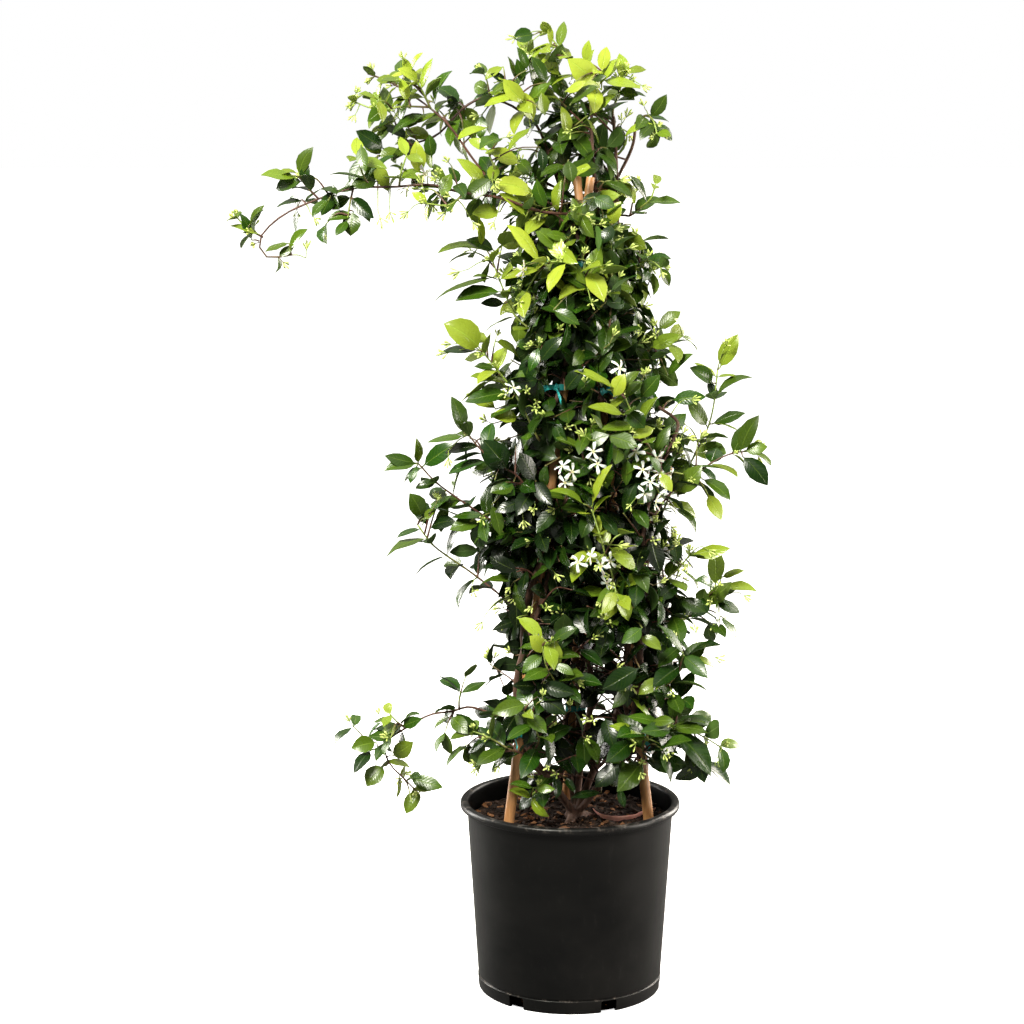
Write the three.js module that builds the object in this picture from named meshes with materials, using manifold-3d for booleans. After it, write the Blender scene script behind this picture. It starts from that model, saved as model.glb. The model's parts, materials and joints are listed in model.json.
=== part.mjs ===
// Star jasmine trained up three canes in a black nursery pot.
// Millimetres, +Z up, origin at the centre of the pot's underside. The front of the plant faces -Y.
// Woody stems grow from a crown in the soil and twine up the canes. Leafy shoots grow from them:
// each is one body of stem, opposite leaves and bud clusters, and stands a hair off the wood.
import * as THREE from 'three';
import { mergeVertices } from 'three/addons/utils/BufferGeometryUtils.js';
import Module from 'manifold-3d';

const wasm = await Module();
wasm.setup();

// Driving dimensions.
const CLEARANCE = 0.35;
const POT_HEIGHT = 265;
const POT_BASE_RADIUS = 125.5;
const POT_WALL_TOP_RADIUS = 141;
const POT_RIM_RADIUS = 150.3;
const POT_WALL = 2.6;
const POT_SIDES = 32;
const FOOT_HEIGHT = 19;
const DRAIN_COUNT = 6;
const DRAIN_WIDTH = 23;
const DRAIN_HEIGHT = 17;
const DRAIN_DEPTH = 11;
const DRAIN_FIRST_ANGLE = -66;
const SOIL_DEPTH_BELOW_RIM = 26;
const SOIL_BUMP = 2.4;
const CANE_BASE_RADIUS = 7.2;
const CANE_TOP_RADIUS = 5.6;
const CANE_IN_SOIL = 60;
const CANE_NODE_SPACING = 260;
const CANE_NODE_SWELL = 0.8;
const TIE_BAND = 8;
const TIE_THICKNESS = 1.3;
const TIE_CORNERS = 12;
const WIDE_TIE_CORNERS = 18;
const LEAF_KEEL = 1.3;
const SHOOT_RADIUS = 1.6;
const SHOOT_TIP_RADIUS = 1.0;
const STEM_CORNERS = 4;
const SIMPLIFY = 0.05;
const SHORTEST_EDGE = 0.04;
const BARK_SEARCH_START = 0.3;
const BARK_SEARCH_STEP = 0.1;

const SOIL_TOP = POT_HEIGHT - SOIL_DEPTH_BELOW_RIM;
const UP = new THREE.Vector3(0, 0, 1);
const degrees = THREE.MathUtils.degToRad;
const at = (x, y, z) => new THREE.Vector3(x, y, z);

// ---- Small helpers -----------------------------------------------------------------------------

// A fixed number from 0 to 1 for each set of whole numbers, so the plant always grows the same.
function draw(a, b, c, d) {
  let h = Math.imul(a + 1, 374761393) ^ Math.imul(b + 1, 668265263);
  h ^= Math.imul(c + 1, 1274126177) ^ Math.imul(d + 1, 461845907);
  h = Math.imul(h ^ (h >>> 15), 2246822519);
  h = Math.imul(h ^ (h >>> 13), 3266489917);
  return ((h ^ (h >>> 16)) >>> 0) / 4294967296;
}

// Moves every vertex of a shape by a rule.
function reshape(geometry, place) {
  const position = geometry.getAttribute('position');
  for (let i = 0; i < position.count; i++) {
    const p = place(position.getX(i), position.getY(i), position.getZ(i));
    position.setXYZ(i, p.x, p.y, p.z);
  }
  return geometry;
}

function solid(geometry) {
  const bare = geometry.clone();
  bare.deleteAttribute('normal');
  bare.deleteAttribute('uv');
  const merged = mergeVertices(bare, 1e-4);
  const vertProperties = new Float32Array(merged.getAttribute('position').array);
  const triVerts = new Uint32Array(merged.index.array);
  return new wasm.Manifold(new wasm.Mesh({ numProp: 3, vertProperties, triVerts }));
}

// The triangles that are left when every edge shorter than SHORTEST_EDGE shrinks to a point.
function withoutShortEdges(points, triangles) {
  const stand = Array.from({ length: points.length / 3 }, (_, i) => i);
  const find = (i) => {
    while (stand[i] !== i) i = stand[i];
    return i;
  };
  const corner = (i) => at(points[3 * i], points[3 * i + 1], points[3 * i + 2]);
  for (let i = 0; i < triangles.length; i++) {
    const a = triangles[i];
    const b = triangles[i % 3 === 2 ? i - 2 : i + 1];
    if (corner(a).distanceTo(corner(b)) >= SHORTEST_EDGE) continue;
    const [low, high] = [find(a), find(b)].sort((m, n) => m - n);
    stand[high] = low;
  }
  const kept = [];
  for (let i = 0; i < triangles.length; i += 3) {
    const [a, b, c] = [find(triangles[i]), find(triangles[i + 1]), find(triangles[i + 2])];
    if (a !== b && b !== c && c !== a) kept.push(a, b, c);
  }
  return new Uint32Array(kept);
}

function geometryOf(body) {
  const mesh = body.getMesh();
  const vertProperties = mesh.vertProperties;
  const triVerts = withoutShortEdges(vertProperties, mesh.triVerts);
  const geometry = new THREE.BufferGeometry();
  geometry.setAttribute('position', new THREE.BufferAttribute(vertProperties, 3));
  geometry.setIndex(new THREE.BufferAttribute(triVerts, 1));
  return geometry;
}

// Tangents along a row of points, and normals carried along it without twist.
function framesAlong(points) {
  const last = points.length - 1;
  const frames = [];
  let normal = null;
  for (let i = 0; i <= last; i++) {
    const before = points[Math.max(i - 1, 0)];
    const after = points[Math.min(i + 1, last)];
    const tangent = after.clone().sub(before).normalize();
    if (!normal) {
      const reference = Math.abs(tangent.z) > 0.9 ? at(1, 0, 0) : UP;
      normal = new THREE.Vector3().crossVectors(tangent, reference);
    }
    normal = normal.clone().addScaledVector(tangent, -normal.dot(tangent)).normalize();
    frames.push({ point: points[i], tangent, normal, side: tangent.clone().cross(normal) });
  }
  return frames;
}

// A tapered tube through a row of points, closed at both ends.
function tube(points, radii, sides) {
  const frames = framesAlong(points);
  const segments = points.length - 1;
  const shape = new THREE.CylinderGeometry(1, 1, 1, sides, segments);
  return reshape(shape, (x, y, z) => {
    const ring = Math.round((0.5 - y) * segments);
    const { point, normal, side } = frames[ring];
    const radius = radii[ring];
    return point.clone().addScaledVector(normal, x * radius).addScaledVector(side, z * radius);
  });
}

function smoothRoute(controls, count) {
  return new THREE.CatmullRomCurve3(controls, false, 'catmullrom', 0.5).getSpacedPoints(count);
}

function taper(from, to, count) {
  return Array.from({ length: count }, (_, i) => from + (to - from) * (i / (count - 1)));
}

// The point of a chain of straight lengths that lies nearest to a given point.
function nearestOn(points, target) {
  let best = null;
  for (let i = 0; i + 1 < points.length; i++) {
    const line = new THREE.Line3(points[i], points[i + 1]);
    const t = line.closestPointToPointParameter(target, true);
    const point = line.at(t, new THREE.Vector3());
    const distance = point.distanceTo(target);
    if (!best || distance < best.distance) {
      best = { point, distance, step: i + t, tangent: line.delta(new THREE.Vector3()).normalize() };
    }
  }
  return best;
}

// ---- Pot ---------------------------------------------------------------------------------------

function wallRadius(z) {
  const share = (z - FOOT_HEIGHT) / (POT_HEIGHT - 11 - FOOT_HEIGHT);
  return POT_BASE_RADIUS + 0.4 + (POT_WALL_TOP_RADIUS - POT_BASE_RADIUS - 0.4) * share;
}

// A blow-moulded can: foot band, tapered wall and a rim rolled outwards over the wall.
function potBody() {
  const rimCentre = POT_RIM_RADIUS - 5;
  const profile = [
    [0, 0],
    [POT_BASE_RADIUS - 2.5, 0],
    [POT_BASE_RADIUS, 2.5],
    [POT_BASE_RADIUS + 1, FOOT_HEIGHT - 1],
    [wallRadius(FOOT_HEIGHT + 1), FOOT_HEIGHT + 1],
    [POT_WALL_TOP_RADIUS, POT_HEIGHT - 11],
    [POT_RIM_RADIUS - 1.2, POT_HEIGHT - 8.5],
    [POT_RIM_RADIUS, POT_HEIGHT - 5],
    [rimCentre + 1, POT_HEIGHT],
    [rimCentre - 4, POT_HEIGHT - 1.5],
    [POT_WALL_TOP_RADIUS - POT_WALL, POT_HEIGHT - 11],
    [wallRadius(FOOT_HEIGHT) - POT_WALL, FOOT_HEIGHT],
    [POT_BASE_RADIUS - POT_WALL, POT_WALL],
    [0, POT_WALL],
  ].map(([r, z]) => new THREE.Vector2(r, z));
  const lathe = new THREE.LatheGeometry(profile, POT_SIDES);
  lathe.rotateX(Math.PI / 2);
  let body = solid(lathe);
  for (let i = 0; i < DRAIN_COUNT; i++) {
    const angle = degrees(DRAIN_FIRST_ANGLE + (360 / DRAIN_COUNT) * i);
    const box = new THREE.BoxGeometry(2 * DRAIN_DEPTH, DRAIN_WIDTH, DRAIN_HEIGHT + 1);
    box.translate(POT_BASE_RADIUS, 0, (DRAIN_HEIGHT - 1) / 2);
    box.rotateZ(angle);
    body = body.subtract(solid(box));
  }
  return body;
}

// ---- Canes -------------------------------------------------------------------------------------

// Each cane leans in from the soil line to its cut top.
const CANES = {
  left: { foot: at(-85, -66, SOIL_TOP), head: at(24, -14, 1112) },
  right: { foot: at(107, -42, SOIL_TOP), head: at(5, 4, 1120) },
  back: { foot: at(-2, 88, SOIL_TOP), head: at(42, 20, 1096) },
};

function canePoint(cane, z) {
  const share = (z - cane.foot.z) / (cane.head.z - cane.foot.z);
  return cane.foot.clone().lerp(cane.head, share);
}

function caneRadius(cane, z) {
  const share = (z - cane.foot.z) / (cane.head.z - cane.foot.z);
  return THREE.MathUtils.lerp(CANE_BASE_RADIUS, CANE_TOP_RADIUS, share);
}

function caneBody(cane, extra) {
  const bottom = cane.foot.z - CANE_IN_SOIL - extra;
  const heights = [bottom];
  const radii = [caneRadius(cane, bottom) + extra];
  for (let z = bottom + CANE_NODE_SPACING; z < cane.head.z - 30; z += CANE_NODE_SPACING) {
    heights.push(z - 6, z, z + 6);
    const radius = caneRadius(cane, z) + extra;
    radii.push(radius, radius + CANE_NODE_SWELL, radius);
  }
  heights.push(cane.head.z);
  radii.push(CANE_TOP_RADIUS + extra);
  return solid(tube(heights.map((z) => canePoint(cane, z)), radii, 8));
}

// ---- Woody stems -------------------------------------------------------------------------------

const CROWN = at(8, -6, SOIL_TOP + 3);
const CROWN_RADIUS = 13;
const TWINE_START = 352;
const TWINE_STEP = 50;
const TWINE_TURN = 54;
const TWINE_GAP = 2.4;

// Stems that twine up a cane, and then leave it for the top.
const TWINERS = [
  { cane: 'left', phase: -12, to: 955, base: 5.0, tip: 2.6, then: [at(10, -46, 1020), at(-8, -55, 1066)] },
  { cane: 'left', phase: 78, to: 855, base: 4.6, tip: 2.6,
    then: [at(-4, -43, 930), at(-10, -37, 1010), at(-18, -34, 1072)] },
  { cane: 'right', phase: 205, to: 955, base: 5.2, tip: 2.4,
    then: [at(-4, 14, 1030), at(-14, 16, 1090), at(-34, 16, 1150)] },
  { cane: 'right', phase: 115, to: 955, base: 4.6, tip: 2.2,
    then: [at(33, 2, 1030), at(30, 2, 1100), at(26, -2, 1160), at(25, -2, 1195)] },
  { cane: 'back', phase: 318, to: 755, base: 4.8, tip: 2.2,
    then: [at(53, 46, 850), at(60, 38, 950), at(61, 26, 1050), at(58, 16, 1140), at(54, 12, 1190)] },
  { cane: 'back', phase: 228, to: 905, base: 4.4, tip: 2.0,
    then: [at(28, 56, 980), at(38, 50, 1060), at(62, 40, 1110), at(80, 28, 1150), at(84, 14, 1182)] },
];

// Stems that climb free of the canes.
const FREE_STEMS = [
  { base: 5.5, tip: 2.0,
    route: [at(30, 0, 300), at(64, 12, 380), at(90, 4, 480), at(99, -30, 560), at(94, -58, 630),
      at(102, -62, 690), at(120, -60, 745), at(139, -52, 785), at(134, -46, 806), at(114, -44, 812)] },
  { base: 5.0, tip: 2.2,
    route: [at(14, 12, 300), at(28, -20, 430), at(8, -20, 560), at(22, 4, 680), at(56, 12, 790),
      at(80, 6, 862)] },
];

const STEM_STEPS = 16;

function twinerRoute(twiner) {
  const cane = CANES[twiner.cane];
  const first = canePoint(cane, TWINE_START);
  const route = [CROWN.clone()];
  const knee = CROWN.clone().lerp(first, 0.45);
  const lean = at(Math.cos(degrees(twiner.phase)), Math.sin(degrees(twiner.phase)), 0);
  route.push(knee.addScaledVector(lean, 7));
  let turn = twiner.phase;
  for (let z = TWINE_START; z <= twiner.to; z += TWINE_STEP) {
    const reach = caneRadius(cane, z) + twiner.base + TWINE_GAP;
    const angle = degrees(turn);
    route.push(canePoint(cane, z).add(at(Math.cos(angle) * reach, Math.sin(angle) * reach, 0)));
    turn += TWINE_TURN;
  }
  return route.concat(twiner.then);
}

function woodPoints() {
  const stems = [];
  for (const twiner of TWINERS) {
    stems.push({ points: twinerRoute(twiner), base: twiner.base, tip: twiner.tip });
  }
  for (const stem of FREE_STEMS) {
    const route = [CROWN.clone()].concat(stem.route);
    stems.push({ points: smoothRoute(route, STEM_STEPS), base: stem.base, tip: stem.tip });
  }
  return stems;
}

const WOOD = woodPoints();
for (const stem of WOOD) stem.radii = taper(stem.base, stem.tip, stem.points.length);

// The swollen crown, with root flares that run down into the soil.
const FLARES = [at(-10, -46, SOIL_TOP - 12), at(44, 16, SOIL_TOP - 12)];

function crownBody(extra) {
  const crown = new THREE.SphereGeometry(CROWN_RADIUS + extra, 7, 4);
  crown.scale(1.15, 1, 0.8);
  crown.translate(CROWN.x, CROWN.y, CROWN.z);
  const flares = FLARES.map((end) => {
    const way = end.clone().sub(CROWN).normalize();
    return solid(tube([CROWN, end.clone().addScaledVector(way, extra)], [8.5 + extra, 6 + extra], 5));
  });
  return wasm.Manifold.union([solid(crown)].concat(flares));
}

function woodBody() {
  const bodies = WOOD.map((stem) => solid(tube(stem.points, stem.radii, 4)));
  return wasm.Manifold.union([crownBody(0)].concat(bodies)).simplify(SIMPLIFY);
}

// ---- Soil --------------------------------------------------------------------------------------

function soilHeight(x, y) {
  const coarse = Math.sin(x / 17 + 0.6) * Math.cos(y / 21 - 0.4);
  const fine = Math.sin((x + y) / 9.5 + 1.1) * 0.5;
  return SOIL_TOP + SOIL_BUMP * (coarse + fine);
}

// The bark mix fills the pot and has a plain hole round each cane and stem.
function soilBody(holes) {
  const bottom = POT_WALL + CLEARANCE;
  const edge = (z) => wallRadius(z) - POT_WALL - CLEARANCE;
  const profile = [
    [0, bottom],
    [POT_BASE_RADIUS - POT_WALL - CLEARANCE, bottom],
    [edge(FOOT_HEIGHT), FOOT_HEIGHT],
    [edge(SOIL_TOP - 4), SOIL_TOP - 4],
    [100, SOIL_TOP],
    [58, SOIL_TOP],
    [0, SOIL_TOP],
  ].map(([r, z]) => new THREE.Vector2(r, z));
  const lathe = new THREE.LatheGeometry(profile, POT_SIDES);
  lathe.rotateX(Math.PI / 2);
  reshape(lathe, (x, y, z) => at(x, y, z > SOIL_TOP - 2 ? soilHeight(x, y) : z));
  return solid(lathe).subtract(wasm.Manifold.union(holes));
}

// ---- Label strap -------------------------------------------------------------------------------

const STRAP_WIDTH = 9;
const STRAP_THICKNESS = 1.0;
const STRAP_RISE = 3.2;
const STRAP_LEAN = degrees(33);
const STRAP_STEPS = 5;
const STRAP_ROUTE = [[34, 18], [44, -8], [64, -20], [86, -12], [96, 2], [118, 22]];

// A plain plastic strap bent in an arc, half sunk on edge in the soil.
function strapBody(extra) {
  const path = smoothRoute(STRAP_ROUTE.map(([x, y]) => at(x, y, SOIL_TOP + STRAP_RISE)), STRAP_STEPS);
  const end = path.length - 1;
  path[0].addScaledVector(path[1].clone().sub(path[0]).normalize(), -extra);
  path[end].addScaledVector(path[end - 1].clone().sub(path[end]).normalize(), -extra);
  const frames = framesAlong(path);
  const shape = new THREE.CylinderGeometry(Math.SQRT1_2, Math.SQRT1_2, 1, 4, end, false, Math.PI / 4);
  return solid(reshape(shape, (x, y, z) => {
    const { point, tangent } = frames[Math.round((0.5 - y) * end)];
    const flat = tangent.clone().cross(UP).normalize();
    const lean = flat.clone().multiplyScalar(Math.sin(STRAP_LEAN)).addScaledVector(UP, Math.cos(STRAP_LEAN));
    const thin = tangent.clone().cross(lean).normalize();
    const wide = (STRAP_WIDTH + 2 * extra) * x;
    return point.clone().addScaledVector(lean, wide).addScaledVector(thin, (STRAP_THICKNESS + 2 * extra) * z);
  }));
}

// ---- Plant ties --------------------------------------------------------------------------------

// Each tie is a band of soft tape round one or more canes and the stems that twine on them.
const TIES = {
  tie_top: { z: 1000, canes: ['left', 'right', 'back'] },
  tie_middle_left: { z: 838, canes: ['left'] },
  tie_middle_right: { z: 832, canes: ['right'] },
  tie_low_left: { z: 372, canes: ['left'] },
  tie_low_right: { z: 366, canes: ['right'] },
  tie_low_back: { z: 376, canes: ['back'] },
};

// The circle where a stem passes a height, if it does.
function crossingAt(stem, z) {
  const { points, radii } = stem;
  const i = points.findIndex((p, k) => k + 1 < points.length && p.z <= z && points[k + 1].z > z);
  if (i < 0) return [];
  const share = (z - points[i].z) / (points[i + 1].z - points[i].z);
  return [{ centre: points[i].clone().lerp(points[i + 1], share), radius: radii[i] }];
}

// A tight outline round a set of circles: the corners where lines that touch them all meet.
function bandOutline(circles, offset, corners) {
  const angles = Array.from({ length: corners }, (_, i) => (i / corners) * 2 * Math.PI);
  const reaches = angles.map((angle) => offset + Math.max(...circles.map(({ centre, radius }) =>
    centre.x * Math.cos(angle) + centre.y * Math.sin(angle) + radius)));
  return angles.map((a, i) => {
    const next = (i + 1) % corners;
    const [b, here, there] = [angles[next], reaches[i], reaches[next]];
    const x = here * Math.sin(b) - there * Math.sin(a);
    const y = there * Math.cos(a) - here * Math.cos(b);
    return new THREE.Vector2(x, y).divideScalar(Math.sin(b - a));
  });
}

function tieBody(tie) {
  const circles = [tie.z - TIE_BAND / 2, tie.z + TIE_BAND / 2].flatMap((z) => tie.canes.flatMap((name) => {
    const cane = { centre: canePoint(CANES[name], z), radius: caneRadius(CANES[name], z) };
    const stems = WOOD.filter((_, i) => TWINERS[i]?.cane === name);
    return [cane, ...stems.flatMap((stem) => crossingAt(stem, z))];
  }));
  const corners = tie.canes.length > 1 ? WIDE_TIE_CORNERS : TIE_CORNERS;
  const shape = new THREE.Shape(bandOutline(circles, CLEARANCE + TIE_THICKNESS, corners));
  shape.holes.push(new THREE.Path(bandOutline(circles, CLEARANCE, corners)));
  const band = new THREE.ExtrudeGeometry(shape, { depth: TIE_BAND, bevelEnabled: false });
  band.translate(0, 0, tie.z - TIE_BAND / 2);
  return solid(band);
}

// ---- Leafy shoots ------------------------------------------------------------------------------

// Each shoot grows from the wood, or from the shoot named in `on`, and runs through its route.
// pairs: pairs of opposite leaves. leaf: length of the longest. bare: share of the stem before
// the first pair. skip: pairs that have fallen. buds: clusters at the last pairs. blooms: [pair,
// way] of each open flower.
const SHOOTS = [
  { name: 'arm_left', pairs: 12, leaf: 42, bare: 0.1, skip: [1, 2, 4, 5, 7, 8, 9, 10], radius: 2.1, buds: 1,
    route: [[-45, -62, 1070], [-95, -75, 1088], [-145, -80, 1095], [-185, -80, 1105], [-230, -75, 1102],
      [-285, -70, 1100], [-330, -65, 1086], [-378, -60, 1064], [-408, -55, 1034], [-400, -50, 1010],
      [-368, -45, 1012]] },
  { name: 'arm_left_rise', on: 'arm_left', pairs: 2, leaf: 46,
    route: [[-330, -65, 1086], [-345, -65, 1102], [-357, -60, 1120]] },
  { name: 'arm_left_reach', on: 'arm_left', pairs: 2, leaf: 38, buds: 1,
    route: [[-409, -55, 1040], [-424, -60, 1048], [-437, -60, 1062]] },
  { name: 'arm_left_top', on: 'arm_left', pairs: 2, leaf: 52,
    route: [[-262, -72, 1101], [-272, -84, 1120], [-278, -88, 1142]] },
  { name: 'arm_left_hang', on: 'arm_left', pairs: 2, leaf: 44,
    route: [[-285, -70, 1100], [-288, -84, 1082], [-292, -88, 1058]] },
  { name: 'arm_left_front', on: 'arm_left', pairs: 2, leaf: 48,
    route: [[-225, -76, 1102], [-222, -92, 1120], [-214, -98, 1144]] },
  { name: 'arm_left_buds', on: 'arm_left', pairs: 2, leaf: 40, buds: 1,
    route: [[-140, -80, 1095], [-160, -98, 1080], [-190, -104, 1082]] },
  { name: 'arm_high', pairs: 9, leaf: 44, bare: 0.18, skip: [2, 3, 4, 6], radius: 2.1, buds: 1,
    route: [[-38, -34, 1082], [-68, -32, 1090], [-100, -35, 1100], [-130, -35, 1136], [-160, -35, 1178],
      [-185, -30, 1201], [-215, -25, 1222], [-245, -20, 1238], [-268, -20, 1246]] },
  { name: 'arm_high_tip', on: 'arm_high', pairs: 3, leaf: 44,
    route: [[-185, -30, 1201], [-196, -38, 1224], [-212, -40, 1250]] },
  { name: 'arm_high_side', on: 'arm_high', pairs: 3, leaf: 36, buds: 1,
    route: [[-188, -30, 1203], [-220, -44, 1204], [-252, -50, 1200], [-284, -48, 1210]] },
  { name: 'arm_high_front', on: 'arm_high', pairs: 2, leaf: 50,
    route: [[-104, -35, 1104], [-102, -58, 1124], [-112, -72, 1150]] },
  { name: 'arm_loop', pairs: 9, leaf: 48, bare: 0.1, skip: [1, 3, 4], radius: 1.9,
    route: [[-48, 16, 1180], [-76, 12, 1202], [-100, 5, 1212], [-118, 0, 1215], [-145, -2, 1200],
      [-176, -6, 1168], [-206, -10, 1156], [-236, -16, 1146], [-266, -22, 1134], [-288, -28, 1122]] },
  { name: 'arm_loop_side', on: 'arm_loop', pairs: 2, leaf: 52,
    route: [[-212, -11, 1154], [-224, 10, 1166], [-240, 22, 1182]] },
  { name: 'top_tip', pairs: 5, leaf: 46, bare: 0.25,
    route: [[20, -4, 1222], [4, -6, 1254], [-20, -4, 1282], [-34, -2, 1300]] },
  { name: 'top_bright', on: 'top_tip', pairs: 3, leaf: 52, bare: 0.4,
    route: [[20, -6, 1222], [38, -24, 1238], [36, -32, 1250]] },
  { name: 'top_middle', pairs: 4, leaf: 46,
    route: [[-14, 38, 1130], [-14, 34, 1190], [-18, 24, 1238], [-24, 22, 1258]] },
  { name: 'top_left', on: 'arm_loop', pairs: 4, leaf: 48,
    route: [[-62, 14, 1192], [-62, -10, 1204], [-72, -26, 1216], [-88, -26, 1236]] },
  { name: 'top_right', pairs: 4, leaf: 44, buds: 1,
    route: [[54, 12, 1200], [60, 10, 1218], [66, 4, 1236], [70, -4, 1250]] },
  { name: 'top_hook', pairs: 4, leaf: 42, buds: 1,
    route: [[88, 8, 1186], [98, -2, 1192], [106, -14, 1184], [110, -24, 1168]] },
  { name: 'upper_left', pairs: 5, leaf: 50, buds: 1,
    route: [[-40, -42, 905], [-74, -36, 930], [-88, -38, 960], [-98, -42, 985], [-106, -46, 1008]] },
  { name: 'upper_front', pairs: 4, leaf: 56, bare: 0.3,
    route: [[18, -60, 965], [12, -78, 990], [-10, -84, 1005], [-38, -86, 1006]] },
  { name: 'middle_left', pairs: 5, leaf: 60, bare: 0.3, buds: 1,
    route: [[-44, -44, 768], [-70, -44, 820], [-86, -46, 845], [-104, -50, 868], [-118, -54, 886]] },
  { name: 'dark_left', pairs: 5, leaf: 54,
    route: [[-52, -72, 700], [-74, -78, 726], [-98, -82, 740], [-122, -82, 762], [-138, -80, 782]] },
  { name: 'far_left', pairs: 6, leaf: 52,
    route: [[-70, -48, 632], [-98, -36, 652], [-126, -32, 670], [-156, -30, 690], [-182, -30, 710],
      [-204, -30, 734]] },
  { name: 'lower_left', pairs: 6, leaf: 54,
    route: [[-80, -40, 545], [-104, -26, 562], [-135, -20, 585], [-165, -20, 606], [-187, -22, 624],
      [-206, -22, 650]] },
  { name: 'arm_low', pairs: 10, leaf: 42, bare: 0.14, skip: [1, 3, 4], radius: 1.8, buds: 1,
    route: [[-96, -66, 398], [-135, -66, 410], [-160, -70, 405], [-190, -70, 400], [-225, -70, 380],
      [-249, -70, 360], [-244, -70, 334], [-222, -70, 310], [-205, -70, 292]] },
  { name: 'arm_low_end', on: 'arm_low', pairs: 1, leaf: 42,
    route: [[-249, -70, 358], [-262, -72, 354], [-270, -74, 352]] },
  { name: 'arm_low_rise', on: 'arm_low', pairs: 2, leaf: 38,
    route: [[-222, -70, 382], [-232, -78, 392], [-242, -82, 404]] },
  { name: 'arm_low_top', on: 'arm_low', pairs: 1, leaf: 44,
    route: [[-150, -69, 408], [-150, -76, 420], [-148, -80, 434]] },
  { name: 'skirt_left', pairs: 4, leaf: 56, buds: 1,
    route: [[-62, -82, 350], [-84, -94, 360], [-108, -92, 374], [-132, -86, 382]] },
  { name: 'skirt_pot', pairs: 2, leaf: 54, bare: 0.5,
    route: [[-34, -44, 288], [-48, -58, 290], [-54, -68, 286]] },
  { name: 'upper_right', pairs: 4, leaf: 46, buds: 1,
    route: [[70, 4, 985], [88, -8, 998], [104, -16, 1002], [118, -22, 992]] },
  { name: 'top_shoulder', pairs: 3, leaf: 46,
    route: [[78, 20, 1060], [92, 6, 1072], [104, -2, 1084], [110, -8, 1104]] },
  { name: 'shoulder_right', pairs: 4, leaf: 50,
    route: [[92, 2, 874], [112, -6, 888], [130, -12, 894], [148, -16, 904]] },
  { name: 'reach_up', pairs: 7, leaf: 52, bare: 0.3,
    route: [[112, -20, 640], [134, -6, 690], [160, 0, 730], [180, 0, 770], [190, 0, 806],
      [195, 0, 856]] },
  { name: 'reach_far', pairs: 5, leaf: 56, bare: 0.3, buds: 1,
    route: [[110, -66, 672], [132, -56, 700], [168, -44, 724], [188, -40, 738], [216, -40, 750],
      [250, -40, 752]] },
  { name: 'front_right', pairs: 5, leaf: 50, blooms: [[0, -100]],
    route: [[116, -78, 742], [102, -90, 762], [84, -96, 796], [66, -98, 834]] },
  { name: 'bloom_right', on: 'front_right', pairs: 2, leaf: 46, blooms: [[0, -120], [1, -60]],
    route: [[98, -80, 700], [106, -94, 716], [116, -100, 734]] },
  { name: 'middle_right', pairs: 5, leaf: 54, buds: 1,
    route: [[92, -34, 535], [124, -32, 574], [144, -30, 592], [160, -30, 612]] },
  { name: 'low_right', pairs: 5, leaf: 54, buds: 1,
    route: [[106, -18, 490], [132, -4, 508], [158, 0, 518], [178, 0, 532], [196, 0, 546]] },
  { name: 'bottom_right', pairs: 4, leaf: 60,
    route: [[104, -50, 420], [126, -60, 436], [146, -62, 460], [162, -62, 482]] },
  { name: 'skirt_right', pairs: 5, leaf: 64, buds: 1,
    route: [[118, -50, 352], [130, -58, 372], [152, -66, 380], [178, -72, 370], [202, -76, 356]] },
  { name: 'skirt_front', pairs: 4, leaf: 64,
    route: [[98, -66, 336], [96, -84, 360], [104, -94, 386], [106, -98, 402]] },
  { name: 'front_bright', pairs: 5, leaf: 52, bare: 0.3, blooms: [[1, -120], [2, -75]],
    route: [[46, -52, 560], [54, -84, 586], [44, -98, 620], [34, -104, 655], [24, -108, 686]] },
  { name: 'front_left', pairs: 4, leaf: 56, bare: 0.3,
    route: [[-36, -62, 425], [-22, -88, 446], [-34, -100, 474], [-40, -104, 502]] },
  { name: 'front_low', pairs: 4, leaf: 54,
    route: [[-50, -70, 350], [-44, -90, 372], [-54, -100, 398], [-64, -104, 414]] },
  { name: 'bloom_front', pairs: 5, leaf: 50, bare: 0.3, blooms: [[1, -120], [3, -80]],
    route: [[-14, -66, 676], [-8, -86, 700], [4, -96, 736], [28, -100, 764], [44, -100, 790]] },
];

// Climbing shoots that clothe the sides and the back of the column: the height where each starts
// and its bearing, from +X towards the back. The column leans to the right low down, and narrows.
const CLIMBERS = [
  [296, 62], [345, 135], [440, 100], [520, 40], [590, 150], [690, 96], [862, -80], [850, 60], [900, 150],
];
const CLIMBER_RISES = [16, 60, 125, 190];
const CLIMBER_REACHES = [0.72, 0.98, 1.04, 1.02];
const CLIMBER_TURN = 9;
const COLUMN_LOW = { z: 700, x: 42, radius: 104 };
const COLUMN_HIGH = { z: 1100, x: 8, radius: 56 };
const COLUMN_Y = 4;

function columnAt(z) {
  const share = THREE.MathUtils.clamp((z - COLUMN_LOW.z) / (COLUMN_HIGH.z - COLUMN_LOW.z), 0, 1);
  const x = THREE.MathUtils.lerp(COLUMN_LOW.x, COLUMN_HIGH.x, share);
  const radius = THREE.MathUtils.lerp(COLUMN_LOW.radius, COLUMN_HIGH.radius, share);
  return { x, radius };
}

CLIMBERS.forEach(([z, bearing], i) => {
  const route = CLIMBER_RISES.map((rise, k) => {
    const { x, radius } = columnAt(z + rise);
    const angle = degrees(bearing + CLIMBER_TURN * k);
    const reach = radius * CLIMBER_REACHES[k];
    return [x + reach * Math.cos(angle), COLUMN_Y + reach * Math.sin(angle), z + rise];
  });
  SHOOTS.push({ name: `climber_${i + 1}`, pairs: 7, leaf: 56, bare: 0.2, route });
});

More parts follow.
